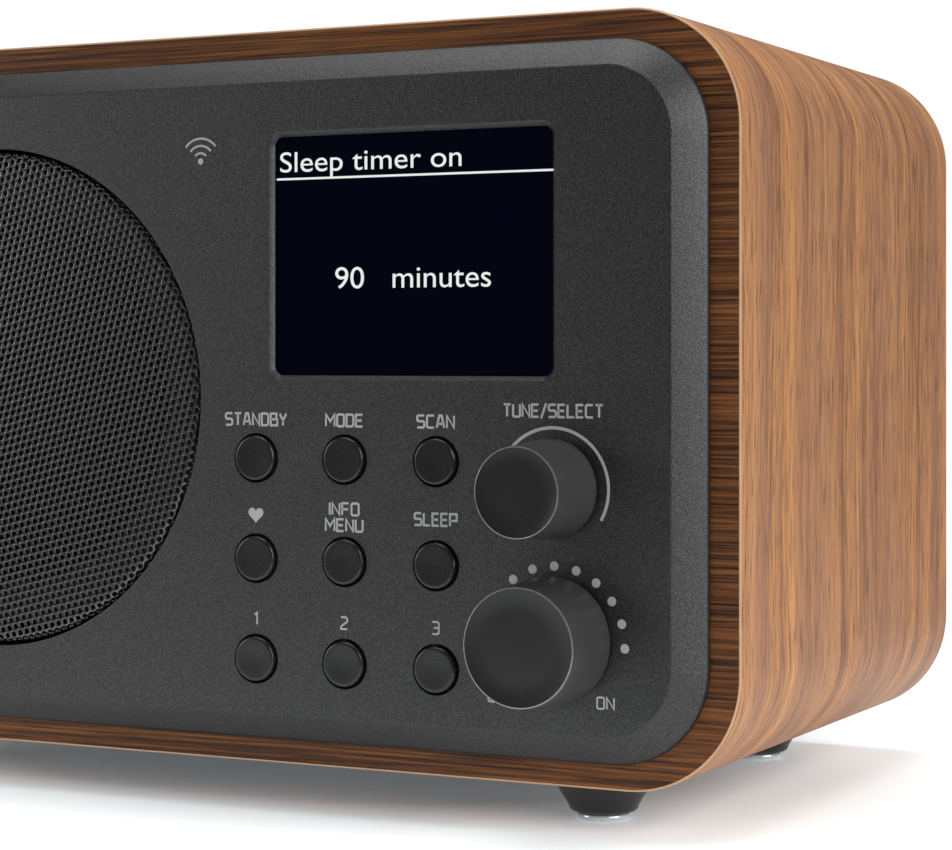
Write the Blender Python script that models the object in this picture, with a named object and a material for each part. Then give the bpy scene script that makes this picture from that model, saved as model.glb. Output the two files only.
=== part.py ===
"""A tabletop radio: a wooden sleeve closed by a bevelled front panel and a screwed rear panel.

Metres, +Z up, +X to the listener's right, the front faces -Y. The origin is the middle of the
footprint, on the surface that the radio stands on. Every size is named once, here at the top.
"""

import math

import bmesh
import bpy
from mathutils import Matrix, Vector

# Clearances
GAP = 0.0003  # between pieces that touch
RUNNING = 0.0004  # round a shaft or a button in its hole

# Wooden sleeve
CABINET_WIDTH = 0.232
CABINET_HEIGHT = 0.140
CABINET_DEPTH = 0.125
CABINET_CORNER = 0.0215
BOARD = 0.009
ARRIS = 0.0004
REBATE_DEPTH = 0.0063
REBATE_LEDGE = 0.0050

# Feet
FOOT_HEIGHT = 0.0066
FOOT_TOP_RADIUS = 0.0095
FOOT_LOW_RADIUS = 0.0066
PAD_HEIGHT = 0.0012
PAD_RADIUS = 0.0050
FOOT_EDGE = 0.0012
FOOT_SIDE_INSET = 0.034
FOOT_FRONT_INSET = 0.0175
FOOT_REAR_INSET = 0.026

# Front panel
PANEL_SIDE_REVEAL = 0.0057
PANEL_TOP_REVEAL = 0.0054
PANEL_BOTTOM_REVEAL = 0.0048
PANEL_CORNER = 0.018
PANEL_CORNER_STEPS = 6
PANEL_RIM = 0.0012
BEVEL_WIDTH = 0.0052
BEVEL_DEPTH = 0.0046
PANEL_WALL = 0.0025
SKIRT_WALL = 0.0020
SKIRT_DEPTH = 0.008

# Speaker and its grille
SPEAKER_LEFT_INSET = 0.0744
SPEAKER_HEIGHT = 0.0695
GRILLE_OPENING = 0.0496
GRILLE_GAP = 0.0007
GRILLE_SHEET = 0.0008
GRILLE_ROLL = 0.0022
GRILLE_SINK = 0.0004
BAFFLE_CLEARANCE = 0.0025  # round the surround
BAFFLE_RIM = 0.0034  # round the grille's opening
BAFFLE_BACK = 0.001
BASKET_BORDER = 0.006  # outside the baffle's hole
BASKET_SHEET = 0.0014
BASKET_DEPTH = 0.022
BASKET_BACK_RADIUS = 0.027
MAGNET_RADIUS = 0.0275
MAGNET_HEIGHT = 0.014
POLE_RADIUS = 0.0095
COIL_RADIUS = 0.0107
COIL_WALL = 0.0005
COIL_LENGTH = 0.013
CONE_MOUTH = 0.034
CONE_MOUTH_SINK = 0.0006
CONE_NECK = 0.0122
CONE_DEPTH = 0.013
CONE_WALL = 0.0006
CONE_TRAVEL = 0.002
CAP_RADIUS = 0.0118
CAP_RISE = 0.0045
SURROUND_WIDTH = 0.0035
SURROUND_RISE = 0.0016
YOKE_SHEET = 0.003

# Colour display behind its lens
WINDOW_WIDTH = 0.058
WINDOW_HEIGHT = 0.0449
WINDOW_CORNER = 0.0018
WINDOW_RIGHT_INSET = 0.03395
WINDOW_TOP_INSET = 0.02095
WINDOW_CHAMFER = 0.0009
WINDOW_LIP = 0.0012
LENS_SHEET = 0.0013
LENS_OVERLAP = 0.0015
MODULE_THICKNESS = 0.004
MODULE_BORDER = 0.003

# Nine push buttons, three by three
BUTTON_NAMES = (
    ("button_preset_1", "button_preset_2", "button_preset_3"),
    ("button_favourite", "button_info", "button_sleep"),
    ("button_standby", "button_mode", "button_scan"),
)
BUTTON_RADIUS = 0.00425
BUTTON_PROUD = 0.0008
BUTTON_FILLET = 0.0005
BUTTON_FLANGE = 0.0055
BUTTON_FLANGE_SHEET = 0.0012
BUTTON_STEM_RADIUS = 0.002
BUTTON_TRAVEL = 0.0008
BUTTON_PITCH_X = 0.0192
BUTTON_PITCH_Z = 0.0190
BUTTON_LAST_COLUMN_INSET = 0.0572
BUTTON_LOW_ROW_HEIGHT = 0.0092  # above the skirt's floor, as both knobs are
MAT_SHEET = 0.0015
MAT_BORDER = 0.005

# Tuning knob (turns and presses) and volume knob (turns)
KNOB_COLUMN_INSET = 0.0336
TUNE_HEIGHT = 0.0428
TUNE_BASE_RADIUS = 0.00915
TUNE_TIP_RADIUS = 0.0081
TUNE_LENGTH = 0.0143
TUNE_STANDOFF = 0.0009
TUNE_TRAVEL = 0.0005
VOLUME_HEIGHT = 0.0158
VOLUME_BASE_RADIUS = 0.01165
VOLUME_TIP_RADIUS = 0.0106
VOLUME_LENGTH = 0.0138
VOLUME_STANDOFF = 0.0007
KNOB_EDGE = 0.0008
KNOB_WALL = 0.0015
SHAFT_RADIUS = 0.003
SHAFT_INTO_KNOB = 0.010
ENCODER_SIDE = 0.012
ENCODER_COLLAR_RADIUS = 0.0045
PLUNGER_RADIUS = 0.0024
PLUNGER_SHEET = 0.0012
POT_SIDE = 0.015

# Boards and leads inside
CONTROL_BOARD_DEPTH = 0.004
BOARD_SHEET = 0.0016
BOARD_SIDE_BORDER = 0.012
BOARD_END_BORDER = 0.0085
STUD_RADIUS = 0.0022
MAIN_BOARD_WIDTH = 0.084
MAIN_BOARD_HEIGHT = 0.050
MAIN_BOARD_RIGHT_INSET = 0.014
MAIN_BOARD_FLOOR_INSET = 0.016
TUNER_WIDTH = 0.030
TUNER_HEIGHT = 0.022
TUNER_THICKNESS = 0.004
CAPACITOR_RADIUS = 0.004
CAPACITOR_HEIGHT = 0.010
RIBBON_WIDTH = 0.014
RIBBON_SHEET = 0.0008
RIBBON_SAG = 0.022
RIBBON_STATIONS = 16
LEAD_RADIUS = 0.0011
LEAD_REACH = 0.012
LEAD_STEP = 0.001
SPEAKER_LEAD_DROOP = 0.014
ANTENNA_LEAD_BOW = 0.022
TERMINAL_DROP = 0.012
INLET_SHARE = 0.12
INLET_RISE = 0.008
RIBBON_SHARE = 0.3
LEAD_STATIONS = 18

# Rear panel and its sockets
REAR_SHEET = 0.003
REAR_FIT = 0.0003
SCREW_SHANK = 0.00115
SCREW_LENGTH = 0.011
SCREW_HEAD = 0.0022
SCREW_HEAD_HEIGHT = 0.0016
SCREW_SPREAD = 0.072
SCREW_CROSS = 0.0008
PORT_RADIUS = 0.0115
PORT_WALL = 0.0018
PORT_LENGTH = 0.036
PORT_FLANGE = 0.0165
PORT_FLANGE_SHEET = 0.0015
SOCKET_PITCH = 0.019
SOCKET_HEIGHT = 0.030
SOCKET_BODY_DEPTH = 0.006
POWER_BORE = 0.0031
POWER_PIN = 0.0010
POWER_NOSE = 0.0046
POWER_BODY = (0.0092, 0.0110)
AUDIO_BORE = 0.0018
AUDIO_NOSE = 0.0034
AUDIO_BODY = (0.0074, 0.0090)

# Telescopic antenna, folded flat across the rear
ANTENNA_RIGHT_INSET = 0.022
ANTENNA_TOP_INSET = 0.022
ANTENNA_OUT = 0.0055
MAST_RADII = (0.0030, 0.0023, 0.0016, 0.0009)
MAST_WALL = 0.0004
MAST_LENGTH = 0.146
MAST_STEP = 0.003
MAST_START = 0.0085
MAST_PLUG = 0.002  # solid root of the outer tube
EYE_RADIUS = 0.0033
EYE_THICKNESS = 0.0034
EYE_BORE = 0.0013
CHEEK_SHEET = 0.0015
CHEEK_RADIUS = 0.0036
TILT_PIN = 0.0010
SWIVEL_DISC = 0.0052
SWIVEL_STEM = 0.0020
BUSH_RADIUS = 0.0040
BUSH_FLANGE = 0.0070
BUSH_FLANGE_SHEET = 0.0012
BUSH_TAIL = 0.002  # inside the rear panel
TIP_RADIUS = 0.0026
TIP_LENGTH = 0.006
TIP_EDGE = 0.001

# Worked out from the sizes above
SLEEVE_BOTTOM = PAD_HEIGHT + GAP + FOOT_HEIGHT + GAP
PANEL_FACE = PANEL_RIM + BEVEL_DEPTH
FRONT_REACH = PANEL_FACE + TUNE_STANDOFF + TUNE_LENGTH
REAR_REACH = ANTENNA_OUT + CHEEK_RADIUS
FRONT = (FRONT_REACH - CABINET_DEPTH - REAR_REACH) / 2
BACK = FRONT + CABINET_DEPTH
FACE = FRONT - PANEL_FACE
PANEL_BACK = FACE + PANEL_WALL
RIGHT = CABINET_WIDTH / 2
LEFT = -RIGHT
TOP = SLEEVE_BOTTOM + CABINET_HEIGHT
SPEAKER_X = LEFT + SPEAKER_LEFT_INSET
SPEAKER_Z = SLEEVE_BOTTOM + SPEAKER_HEIGHT
KNOB_X = RIGHT - KNOB_COLUMN_INSET
SKIRT_FLOOR = SLEEVE_BOTTOM + BOARD + GAP + SKIRT_WALL
TUNE_Z = SKIRT_FLOOR + TUNE_HEIGHT
VOLUME_Z = SKIRT_FLOOR + VOLUME_HEIGHT
WINDOW_X = RIGHT - WINDOW_RIGHT_INSET - WINDOW_WIDTH / 2
WINDOW_Z = TOP - WINDOW_TOP_INSET - WINDOW_HEIGHT / 2
CONTROL_BOARD_FRONT = FRONT + CONTROL_BOARD_DEPTH
REAR_FACE = BACK - REBATE_DEPTH + GAP + REAR_SHEET
REAR_INSIDE = REAR_FACE - REAR_SHEET
MAIN_BOARD_BACK = REAR_INSIDE - SOCKET_BODY_DEPTH
ANTENNA_X = RIGHT - ANTENNA_RIGHT_INSET
ANTENNA_Z = TOP - ANTENNA_TOP_INSET
ANTENNA_Y = BACK + ANTENNA_OUT
LEDGE = FRONT + BAFFLE_BACK
BAFFLE_HOLE = CONE_MOUTH + SURROUND_WIDTH + BAFFLE_CLEARANCE
BAFFLE_RING = GRILLE_OPENING + BAFFLE_RIM
BASKET_FLANGE = BAFFLE_HOLE + BASKET_BORDER
BASKET_FRONT = LEDGE + GAP

TO_BACK = Matrix.Rotation(-math.pi / 2, 4, "X")  # a piece turned about Z then points to the back
TO_LEFT = Matrix.Rotation(-math.pi / 2, 4, "Y")  # a piece turned about Z then points to the left
UPRIGHT = Matrix.Identity(4)


# ---------------------------------------------------------------- tools for making bodies
def clear_scene():
    for item in list(bpy.data.objects):
        bpy.data.objects.remove(item, do_unlink=True)


def finish(name, colour, roughness, metallic=0.0):
    made = bpy.data.materials.get(name)
    if made is None:
        made = bpy.data.materials.new(name)
        made.use_nodes = True
        shader = made.node_tree.nodes["Principled BSDF"]
        shader.inputs["Base Color"].default_value = (*colour, 1.0)
        shader.inputs["Roughness"].default_value = roughness
        shader.inputs["Metallic"].default_value = metallic
    return made


def add_piece(name, body, place=(0.0, 0.0, 0.0), turn=UPRIGHT, material=None):
    """Put a finished bmesh into the scene as one named object."""
    bmesh.ops.recalc_face_normals(body, faces=body.faces)
    mesh = bpy.data.meshes.new(name)
    body.to_mesh(mesh)
    body.free()
    mesh.shade_smooth()
    mesh.set_sharp_from_angle(angle=math.radians(30))
    piece = bpy.data.objects.new(name, mesh)
    bpy.context.scene.collection.objects.link(piece)
    piece.matrix_world = Matrix.Translation(place) @ turn
    if material is not None:
        mesh.materials.append(material)
    return piece


def combine(target, body, operation, place=(0.0, 0.0, 0.0), turn=UPRIGHT, solver="EXACT"):
    """Boolean a helper body, given in the world's frame, into a piece."""
    number = len(target.modifiers)
    helper = add_piece(f"{target.name}.{operation.lower()}{number}", body, place, turn)
    helper.hide_render = True
    helper.display_type = "WIRE"
    change = target.modifiers.new(f"{operation.lower()} {number}", "BOOLEAN")
    change.operation = operation
    change.object = helper
    change.solver = solver


def cut(target, body, place=(0.0, 0.0, 0.0), turn=UPRIGHT):
    combine(target, body, "DIFFERENCE", place, turn)


def join(target, body, place=(0.0, 0.0, 0.0), turn=UPRIGHT):
    combine(target, body, "UNION", place, turn)


def turned(profile, steps):
    """Spin a profile of (radius, height) about Z. It is a ring unless both ends lie on the axis."""
    body = bmesh.new()
    points = [body.verts.new((radius, 0.0, height)) for radius, height in profile]
    edges = [body.edges.new(pair) for pair in zip(points, points[1:])]
    on_axis = profile[0][0] == 0.0 and profile[-1][0] == 0.0
    if not on_axis:
        edges.append(body.edges.new((points[-1], points[0])))
    axis = {"cent": (0, 0, 0), "axis": (0, 0, 1), "angle": math.tau}
    bmesh.ops.spin(body, geom=points + edges, steps=steps, use_merge=True, **axis)
    bmesh.ops.remove_doubles(body, verts=body.verts, dist=1e-6)
    return body


def rod(radius, low, high, steps):
    return turned([(0.0, low), (radius, low), (radius, high), (0.0, high)], steps)


def block(low, high):
    """A box between two corners."""
    body = bmesh.new()
    middle = (Vector(low) + Vector(high)) / 2
    size = Vector(high) - Vector(low)
    bmesh.ops.create_cube(body, size=1.0, matrix=Matrix.Translation(middle) @ Matrix.Diagonal((*size, 1.0)))
    return body


def rounded_loop(half_width, half_height, radius, steps, y, centre=(0.0, 0.0)):
    """The corners of a rounded rectangle that stands in a plane of constant Y."""
    loop = []
    for quarter, (side, level) in enumerate(((1, 1), (-1, 1), (-1, -1), (1, -1))):
        for step in range(steps + 1):
            angle = (quarter + step / steps) * math.pi / 2
            x = centre[0] + side * (half_width - radius) + radius * math.cos(angle)
            z = centre[1] + level * (half_height - radius) + radius * math.sin(angle)
            loop.append((x, y, z))
    return loop


def lofted(loops, ring=False):
    """Skin equal loops in turn, then cap both ends, or close the last loop onto the first."""
    body = bmesh.new()
    rows = [[body.verts.new(point) for point in loop] for loop in loops]
    pairs = list(zip(rows, rows[1:]))
    if ring:
        pairs.append((rows[-1], rows[0]))
    else:
        body.faces.new(rows[0])
        body.faces.new(rows[-1])
    for near, far in pairs:
        for index in range(len(near)):
            following = (index + 1) % len(near)
            body.faces.new((near[index], near[following], far[following], far[index]))
    return body


def merged(bodies):
    """Several separate bodies in one bmesh, for cutters that come in sets."""
    together = bmesh.new()
    for body in bodies:
        mesh = bpy.data.meshes.new("part of a set")
        body.to_mesh(mesh)
        body.free()
        together.from_mesh(mesh)
        bpy.data.meshes.remove(mesh)
    return together


def along_y(radius, x, z, front, back, steps):
    """A round bar from front to back, placed in the world's frame."""
    body = rod(radius, 0.0, back - front, steps)
    bmesh.ops.transform(body, matrix=Matrix.Translation((x, front, z)) @ TO_BACK, verts=body.verts)
    return body


def smooth_route(points, stations):
    """Read a smooth curve through the route's own points, at even steps of its parameter."""
    ends = [2 * points[0] - points[1], *points, 2 * points[-1] - points[-2]]
    spans = len(points) - 1
    route = []
    for station in range(stations + 1):
        at = station / stations * spans
        span = min(int(at), spans - 1)
        t = at - span
        a, b, c, d = ends[span : span + 4]
        square = (2 * a - 5 * b + 4 * c - d) * t**2
        cube = (3 * b - a - 3 * c + d) * t**3
        route.append(0.5 * (2 * b + (c - a) * t + square + cube))
    return route


def add_lead(name, points, material):
    """A round lead along a smooth route."""
    curve = bpy.data.curves.new(name, "CURVE")
    curve.dimensions = "3D"
    curve.bevel_depth = LEAD_RADIUS
    curve.bevel_resolution = 2
    curve.use_fill_caps = True
    route = smooth_route([Vector(point) for point in points], LEAD_STATIONS)
    spline = curve.splines.new("POLY")
    spline.points.add(len(route) - 1)
    for point, place in zip(spline.points, route):
        point.co = (*place, 1.0)
    curve.materials.append(material)
    lead = bpy.data.objects.new(name, curve)
    bpy.context.scene.collection.objects.link(lead)


# ---------------------------------------------------------------- cabinet
def sleeve_loop(inset, y):
    """The sleeve's outline, drawn in by an inset, with its corners kept concentric."""
    radius = CABINET_CORNER - inset
    middle = (0.0, SLEEVE_BOTTOM + CABINET_HEIGHT / 2)
    return rounded_loop(CABINET_WIDTH / 2 - inset, CABINET_HEIGHT / 2 - inset, radius, 8, y, middle)


def screw_places():
    """Middle of the rebate's shoulder, two screws along the top and two along the bottom."""
    shoulder = BOARD - REBATE_LEDGE / 2
    levels = (SLEEVE_BOTTOM + shoulder, TOP - shoulder)
    return [(side * SCREW_SPREAD, level) for side in (-1, 1) for level in levels]


def make_sleeve():
    wood = finish("walnut veneer", (0.42, 0.22, 0.11), 0.45)
    rebate = BOARD - REBATE_LEDGE
    loops = [
        sleeve_loop(ARRIS, FRONT),
        sleeve_loop(0.0, FRONT + ARRIS),
        sleeve_loop(0.0, BACK - ARRIS),
        sleeve_loop(ARRIS, BACK),
        sleeve_loop(rebate, BACK),
        sleeve_loop(rebate, BACK - REBATE_DEPTH),
        sleeve_loop(BOARD, BACK - REBATE_DEPTH),
        sleeve_loop(BOARD, FRONT),
    ]
    sleeve = add_piece("cabinet_sleeve", lofted(loops, ring=True), material=wood)
    depth = SCREW_LENGTH - REAR_SHEET + 2 * GAP
    floor = BACK - REBATE_DEPTH
    pilots = [along_y(SCREW_SHANK + GAP, x, z, floor - depth, floor + GAP, 10) for x, z in screw_places()]
    cut(sleeve, merged(pilots))


def make_feet():
    black = finish("black moulding", (0.012, 0.012, 0.013), 0.42)
    clear = finish("clear bumper", (0.62, 0.63, 0.64), 0.3)
    low = PAD_HEIGHT + GAP
    rise = FOOT_HEIGHT
    edge = FOOT_EDGE
    profile = [
        (0.0, low),
        (FOOT_LOW_RADIUS - edge, low),
        (FOOT_LOW_RADIUS - 0.3 * edge, low + 0.3 * edge),
        (FOOT_LOW_RADIUS, low + edge),
        (FOOT_TOP_RADIUS, low + rise - edge),
        (FOOT_TOP_RADIUS, low + rise),
        (0.0, low + rise),
    ]
    side = RIGHT - FOOT_SIDE_INSET
    corners = {
        "front_left": (-side, FRONT + FOOT_FRONT_INSET),
        "front_right": (side, FRONT + FOOT_FRONT_INSET),
        "rear_left": (-side, BACK - FOOT_REAR_INSET),
        "rear_right": (side, BACK - FOOT_REAR_INSET),
    }
    for corner, (x, y) in corners.items():
        add_piece(f"foot_{corner}", turned(profile, 20), (x, y, 0.0), material=black)
        add_piece(f"foot_pad_{corner}", rod(PAD_RADIUS, 0.0, PAD_HEIGHT, 16), (x, y, 0.0), material=clear)


# ---------------------------------------------------------------- front panel
def panel_loop(inset, y):
    """The panel's outline, drawn in by an inset, with its corners kept concentric."""
    low = SLEEVE_BOTTOM + PANEL_BOTTOM_REVEAL
    high = TOP - PANEL_TOP_REVEAL
    half_width = CABINET_WIDTH / 2 - PANEL_SIDE_REVEAL - inset
    radius = max(PANEL_CORNER - inset, SKIRT_WALL)
    half_height = (high - low) / 2 - inset
    return rounded_loop(half_width, half_height, radius, PANEL_CORNER_STEPS, y, (0.0, (low + high) / 2))


def button_columns():
    last = RIGHT - BUTTON_LAST_COLUMN_INSET
    return [last - (2 - column) * BUTTON_PITCH_X for column in range(3)]


def button_rows():
    return [SKIRT_FLOOR + BUTTON_LOW_ROW_HEIGHT + row * BUTTON_PITCH_Z for row in range(3)]


def control_board_box():
    """Left, right, bottom and top of the control board, round the buttons and both knobs."""
    columns = button_columns()
    low = button_rows()[0] - BOARD_END_BORDER
    high = max(button_rows()[-1], TUNE_Z) + BOARD_END_BORDER
    return columns[0] - BOARD_SIDE_BORDER, KNOB_X + BOARD_SIDE_BORDER, low, high


def control_board_studs():
    left, right, low, high = control_board_box()
    inset = 2 * STUD_RADIUS
    return [(x, z) for x in (left + inset, right - inset) for z in (low + inset, high - inset)]


def window_loop(margin, y):
    corner = WINDOW_CORNER + max(margin, 0.0)
    return rounded_loop(
        WINDOW_WIDTH / 2 + margin, WINDOW_HEIGHT / 2 + margin, corner, 4, y, (WINDOW_X, WINDOW_Z)
    )


def make_front_panel():
    spray = finish("dark grey paint", (0.052, 0.053, 0.055), 0.5)
    flange = FRONT - GAP
    skirt = [
        rounded_loop(
            CABINET_WIDTH / 2 - BOARD - GAP - inset,
            CABINET_HEIGHT / 2 - BOARD - GAP - inset,
            CABINET_CORNER - BOARD - GAP - inset,
            PANEL_CORNER_STEPS,
            y,
            (0.0, SLEEVE_BOTTOM + CABINET_HEIGHT / 2),
        )
        for inset, y in (
            (0.0, flange),
            (0.0, FRONT + SKIRT_DEPTH),
            (SKIRT_WALL, FRONT + SKIRT_DEPTH),
            (SKIRT_WALL, PANEL_BACK),
        )
    ]
    outside = [panel_loop(BEVEL_WIDTH, FACE), panel_loop(0.0, FRONT - PANEL_RIM), panel_loop(0.0, flange)]
    panel = add_piece("front_panel", lofted(outside + skirt), material=spray)

    baffle_front = PANEL_BACK - PANEL_WALL / 2
    baffle = [
        (BAFFLE_HOLE, baffle_front),
        (BAFFLE_RING, baffle_front),
        (BAFFLE_RING, LEDGE),
        (BAFFLE_HOLE, LEDGE),
    ]
    join(panel, turned(baffle, 48), (SPEAKER_X, 0.0, SPEAKER_Z), TO_BACK)
    studs = [
        along_y(STUD_RADIUS, x, z, PANEL_BACK - PANEL_WALL / 3, CONTROL_BOARD_FRONT - GAP, 8)
        for x, z in control_board_studs()
    ]
    join(panel, merged(studs))

    ahead = FACE - 2 * WINDOW_CHAMFER
    behind = LEDGE + BAFFLE_BACK
    grille_seat = FACE + GRILLE_SINK + GRILLE_ROLL + GAP
    cut(panel, along_y(GRILLE_OPENING, SPEAKER_X, SPEAKER_Z, ahead, grille_seat, 48))
    chamfer = [
        window_loop(2 * WINDOW_CHAMFER, FACE - WINDOW_CHAMFER),
        window_loop(0.0, FACE + WINDOW_CHAMFER),
        window_loop(0.0, behind),
    ]
    # The chamfer runs close by the baffle's wall, which has to stay closed in a wider cabinet.
    combine(panel, lofted(chamfer), "DIFFERENCE", solver="MANIFOLD")
    pocket = [window_loop(LENS_OVERLAP + GAP, y) for y in (FACE + WINDOW_LIP, behind)]
    cut(panel, lofted(pocket))
    low, high = display_module_box()
    margin = Vector((GAP, GAP, GAP))
    cut(panel, block(low - margin, high + margin))
    places = [(BUTTON_RADIUS + RUNNING, x, z) for x in button_columns() for z in button_rows()]
    places += [(ENCODER_COLLAR_RADIUS + GAP, KNOB_X, z) for z in (TUNE_Z, VOLUME_Z)]
    holes = [along_y(radius, x, z, ahead, behind, 16) for radius, x, z in places]
    cut(panel, merged(holes))


def make_grille():
    """A pressed disc whose edge rolls back onto the ledge."""
    steel = finish("black perforated steel", (0.006, 0.006, 0.006), 0.3, 0.6)
    front = FACE + GRILLE_SINK
    radius = GRILLE_OPENING - GRILLE_GAP
    bend = 0.6 * GRILLE_ROLL
    outer = [(radius - bend + bend * math.sin(a), bend - bend * math.cos(a)) for a in (0.0, 0.78, 1.57)]
    inner_bend = bend - GRILLE_SHEET
    inner = [
        (radius - bend + inner_bend * math.sin(a), bend - inner_bend * math.cos(a)) for a in (1.57, 0.78, 0.0)
    ]
    profile = [(0.0, 0.0), *outer, (radius, GRILLE_ROLL), (radius - GRILLE_SHEET, GRILLE_ROLL), *inner]
    profile.append((0.0, GRILLE_SHEET))
    add_piece("speaker_grille", turned(profile, 48), (SPEAKER_X, front, SPEAKER_Z), TO_BACK, steel)


def display_module_box():
    """Lowest and highest corners of the module, which lies a gap behind the lens."""
    front = FACE + WINDOW_LIP + GAP + LENS_SHEET + GAP
    half_width = WINDOW_WIDTH / 2 + MODULE_BORDER
    half_height = WINDOW_HEIGHT / 2 + MODULE_BORDER
    low = Vector((WINDOW_X - half_width, front, WINDOW_Z - half_height))
    high = Vector((WINDOW_X + half_width, front + MODULE_THICKNESS, WINDOW_Z + half_height))
    return low, high


def make_display():
    lens = finish("display lens", (0.02, 0.02, 0.03), 0.05)
    screen = finish("display module", (0.02, 0.02, 0.06), 0.3)
    front = FACE + WINDOW_LIP + GAP
    sheet = [window_loop(LENS_OVERLAP, y) for y in (front, front + LENS_SHEET)]
    add_piece("display_window", lofted(sheet), material=lens)
    add_piece("display_module", block(*display_module_box()), material=screen)


# ---------------------------------------------------------------- buttons and knobs
def make_buttons():
    """Each cap is held behind the panel by its flange and slides back to close its switch."""
    rubber = finish("black button", (0.02, 0.02, 0.021), 0.55)
    front = FACE - BUTTON_PROUD
    flange = PANEL_BACK + GAP - front
    fillet = [
        (BUTTON_RADIUS - BUTTON_FILLET * (1 - math.sin(a)), BUTTON_FILLET * (1 - math.cos(a)))
        for a in (0.0, 1.57)
    ]
    stem_end = CONTROL_BOARD_FRONT - GAP - MAT_SHEET - GAP - BUTTON_TRAVEL - front
    profile = [
        (0.0, 0.0),
        *fillet,
        (BUTTON_RADIUS, flange),
        (BUTTON_FLANGE, flange),
        (BUTTON_FLANGE, flange + BUTTON_FLANGE_SHEET),
        (BUTTON_STEM_RADIUS, flange + BUTTON_FLANGE_SHEET),
        (BUTTON_STEM_RADIUS, stem_end),
        (0.0, stem_end),
    ]
    for names, z in zip(BUTTON_NAMES, button_rows()):
        for name, x in zip(names, button_columns()):
            add_piece(name, turned(profile, 16), (x, front, z), TO_BACK, rubber)

    silicone = finish("grey silicone", (0.25, 0.25, 0.26), 0.7)
    columns = button_columns()
    rows = button_rows()
    back = CONTROL_BOARD_FRONT - GAP
    low = (columns[0] - MAT_BORDER, back - MAT_SHEET, rows[0] - MAT_BORDER)
    high = (columns[-1] + MAT_BORDER, back, rows[-1] + MAT_BORDER)
    add_piece("button_mat", block(low, high), material=silicone)


def knob_profile(base_radius, tip_radius, length):
    """A hollow knob on a solid hub, open at the back. Heights run from its front face to the back."""
    shoulder = KNOB_EDGE
    wall = KNOB_WALL
    edge = [
        (tip_radius - shoulder * (1 - math.sin(a)), shoulder * (1 - math.cos(a))) for a in (0.0, 0.78, 1.57)
    ]
    bore = SHAFT_RADIUS + GAP
    hub = bore + wall
    floor = length - SHAFT_INTO_KNOB
    return [
        (0.0, 0.0),
        *edge,
        (base_radius, length),
        (base_radius - wall, length),
        (base_radius - wall, floor),
        (hub, floor),
        (hub, length - wall),
        (bore, length - wall),
        (bore, floor),
        (0.0, floor),
    ]


def make_knob(name, shaft_name, z, base_radius, tip_radius, length, standoff, shaft_end):
    """The knob and its shaft turn together, both with their origins on the turning axis."""
    black = finish("satin black knob", (0.016, 0.016, 0.017), 0.42)
    metal = finish("turned steel", (0.5, 0.5, 0.5), 0.35, 1.0)
    front = FACE - standoff - length
    profile = knob_profile(base_radius, tip_radius, length)
    add_piece(name, turned(profile, 32), (KNOB_X, front, z), TO_BACK, black)
    start = length - SHAFT_INTO_KNOB + GAP
    shaft = rod(SHAFT_RADIUS, start, shaft_end - front, 16)
    add_piece(shaft_name, shaft, (KNOB_X, front, z), TO_BACK, metal)


def make_control(name, z, side, collar_bore):
    """A switch body on the control board, with a collar that carries the shaft."""
    case = finish("grey switch case", (0.10, 0.10, 0.11), 0.5)
    half = side / 2
    front = PANEL_BACK + GAP
    back = CONTROL_BOARD_FRONT - GAP
    box = block((KNOB_X - half, front, z - half), (KNOB_X + half, back, z + half))
    body = add_piece(name, box, material=case)
    nose = FACE + GAP
    join(body, along_y(ENCODER_COLLAR_RADIUS, KNOB_X, z, nose, front + GAP, 16))
    cut(body, along_y(collar_bore, KNOB_X, z, nose - GAP, back - PLUNGER_SHEET, 16))


def make_controls():
    bore = SHAFT_RADIUS + RUNNING
    pocket_end = CONTROL_BOARD_FRONT - GAP - PLUNGER_SHEET
    make_control("tune_encoder", TUNE_Z, ENCODER_SIDE, bore)
    make_control("volume_pot", VOLUME_Z, POT_SIDE, bore)
    plunger_back = pocket_end - GAP - TUNE_TRAVEL
    plunger_front = plunger_back - PLUNGER_SHEET
    make_knob(
        "tune_knob", "tune_shaft", TUNE_Z, TUNE_BASE_RADIUS, TUNE_TIP_RADIUS, TUNE_LENGTH, TUNE_STANDOFF,
        plunger_front - GAP,
    )
    make_knob(
        "volume_knob", "volume_shaft", VOLUME_Z, VOLUME_BASE_RADIUS, VOLUME_TIP_RADIUS, VOLUME_LENGTH,
        VOLUME_STANDOFF, pocket_end - GAP,
    )
    brass = finish("switch contact", (0.6, 0.45, 0.2), 0.35, 1.0)
    plunger = rod(PLUNGER_RADIUS, 0.0, PLUNGER_SHEET, 12)
    add_piece("tune_plunger", plunger, (KNOB_X, plunger_front, TUNE_Z), TO_BACK, brass)


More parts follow.
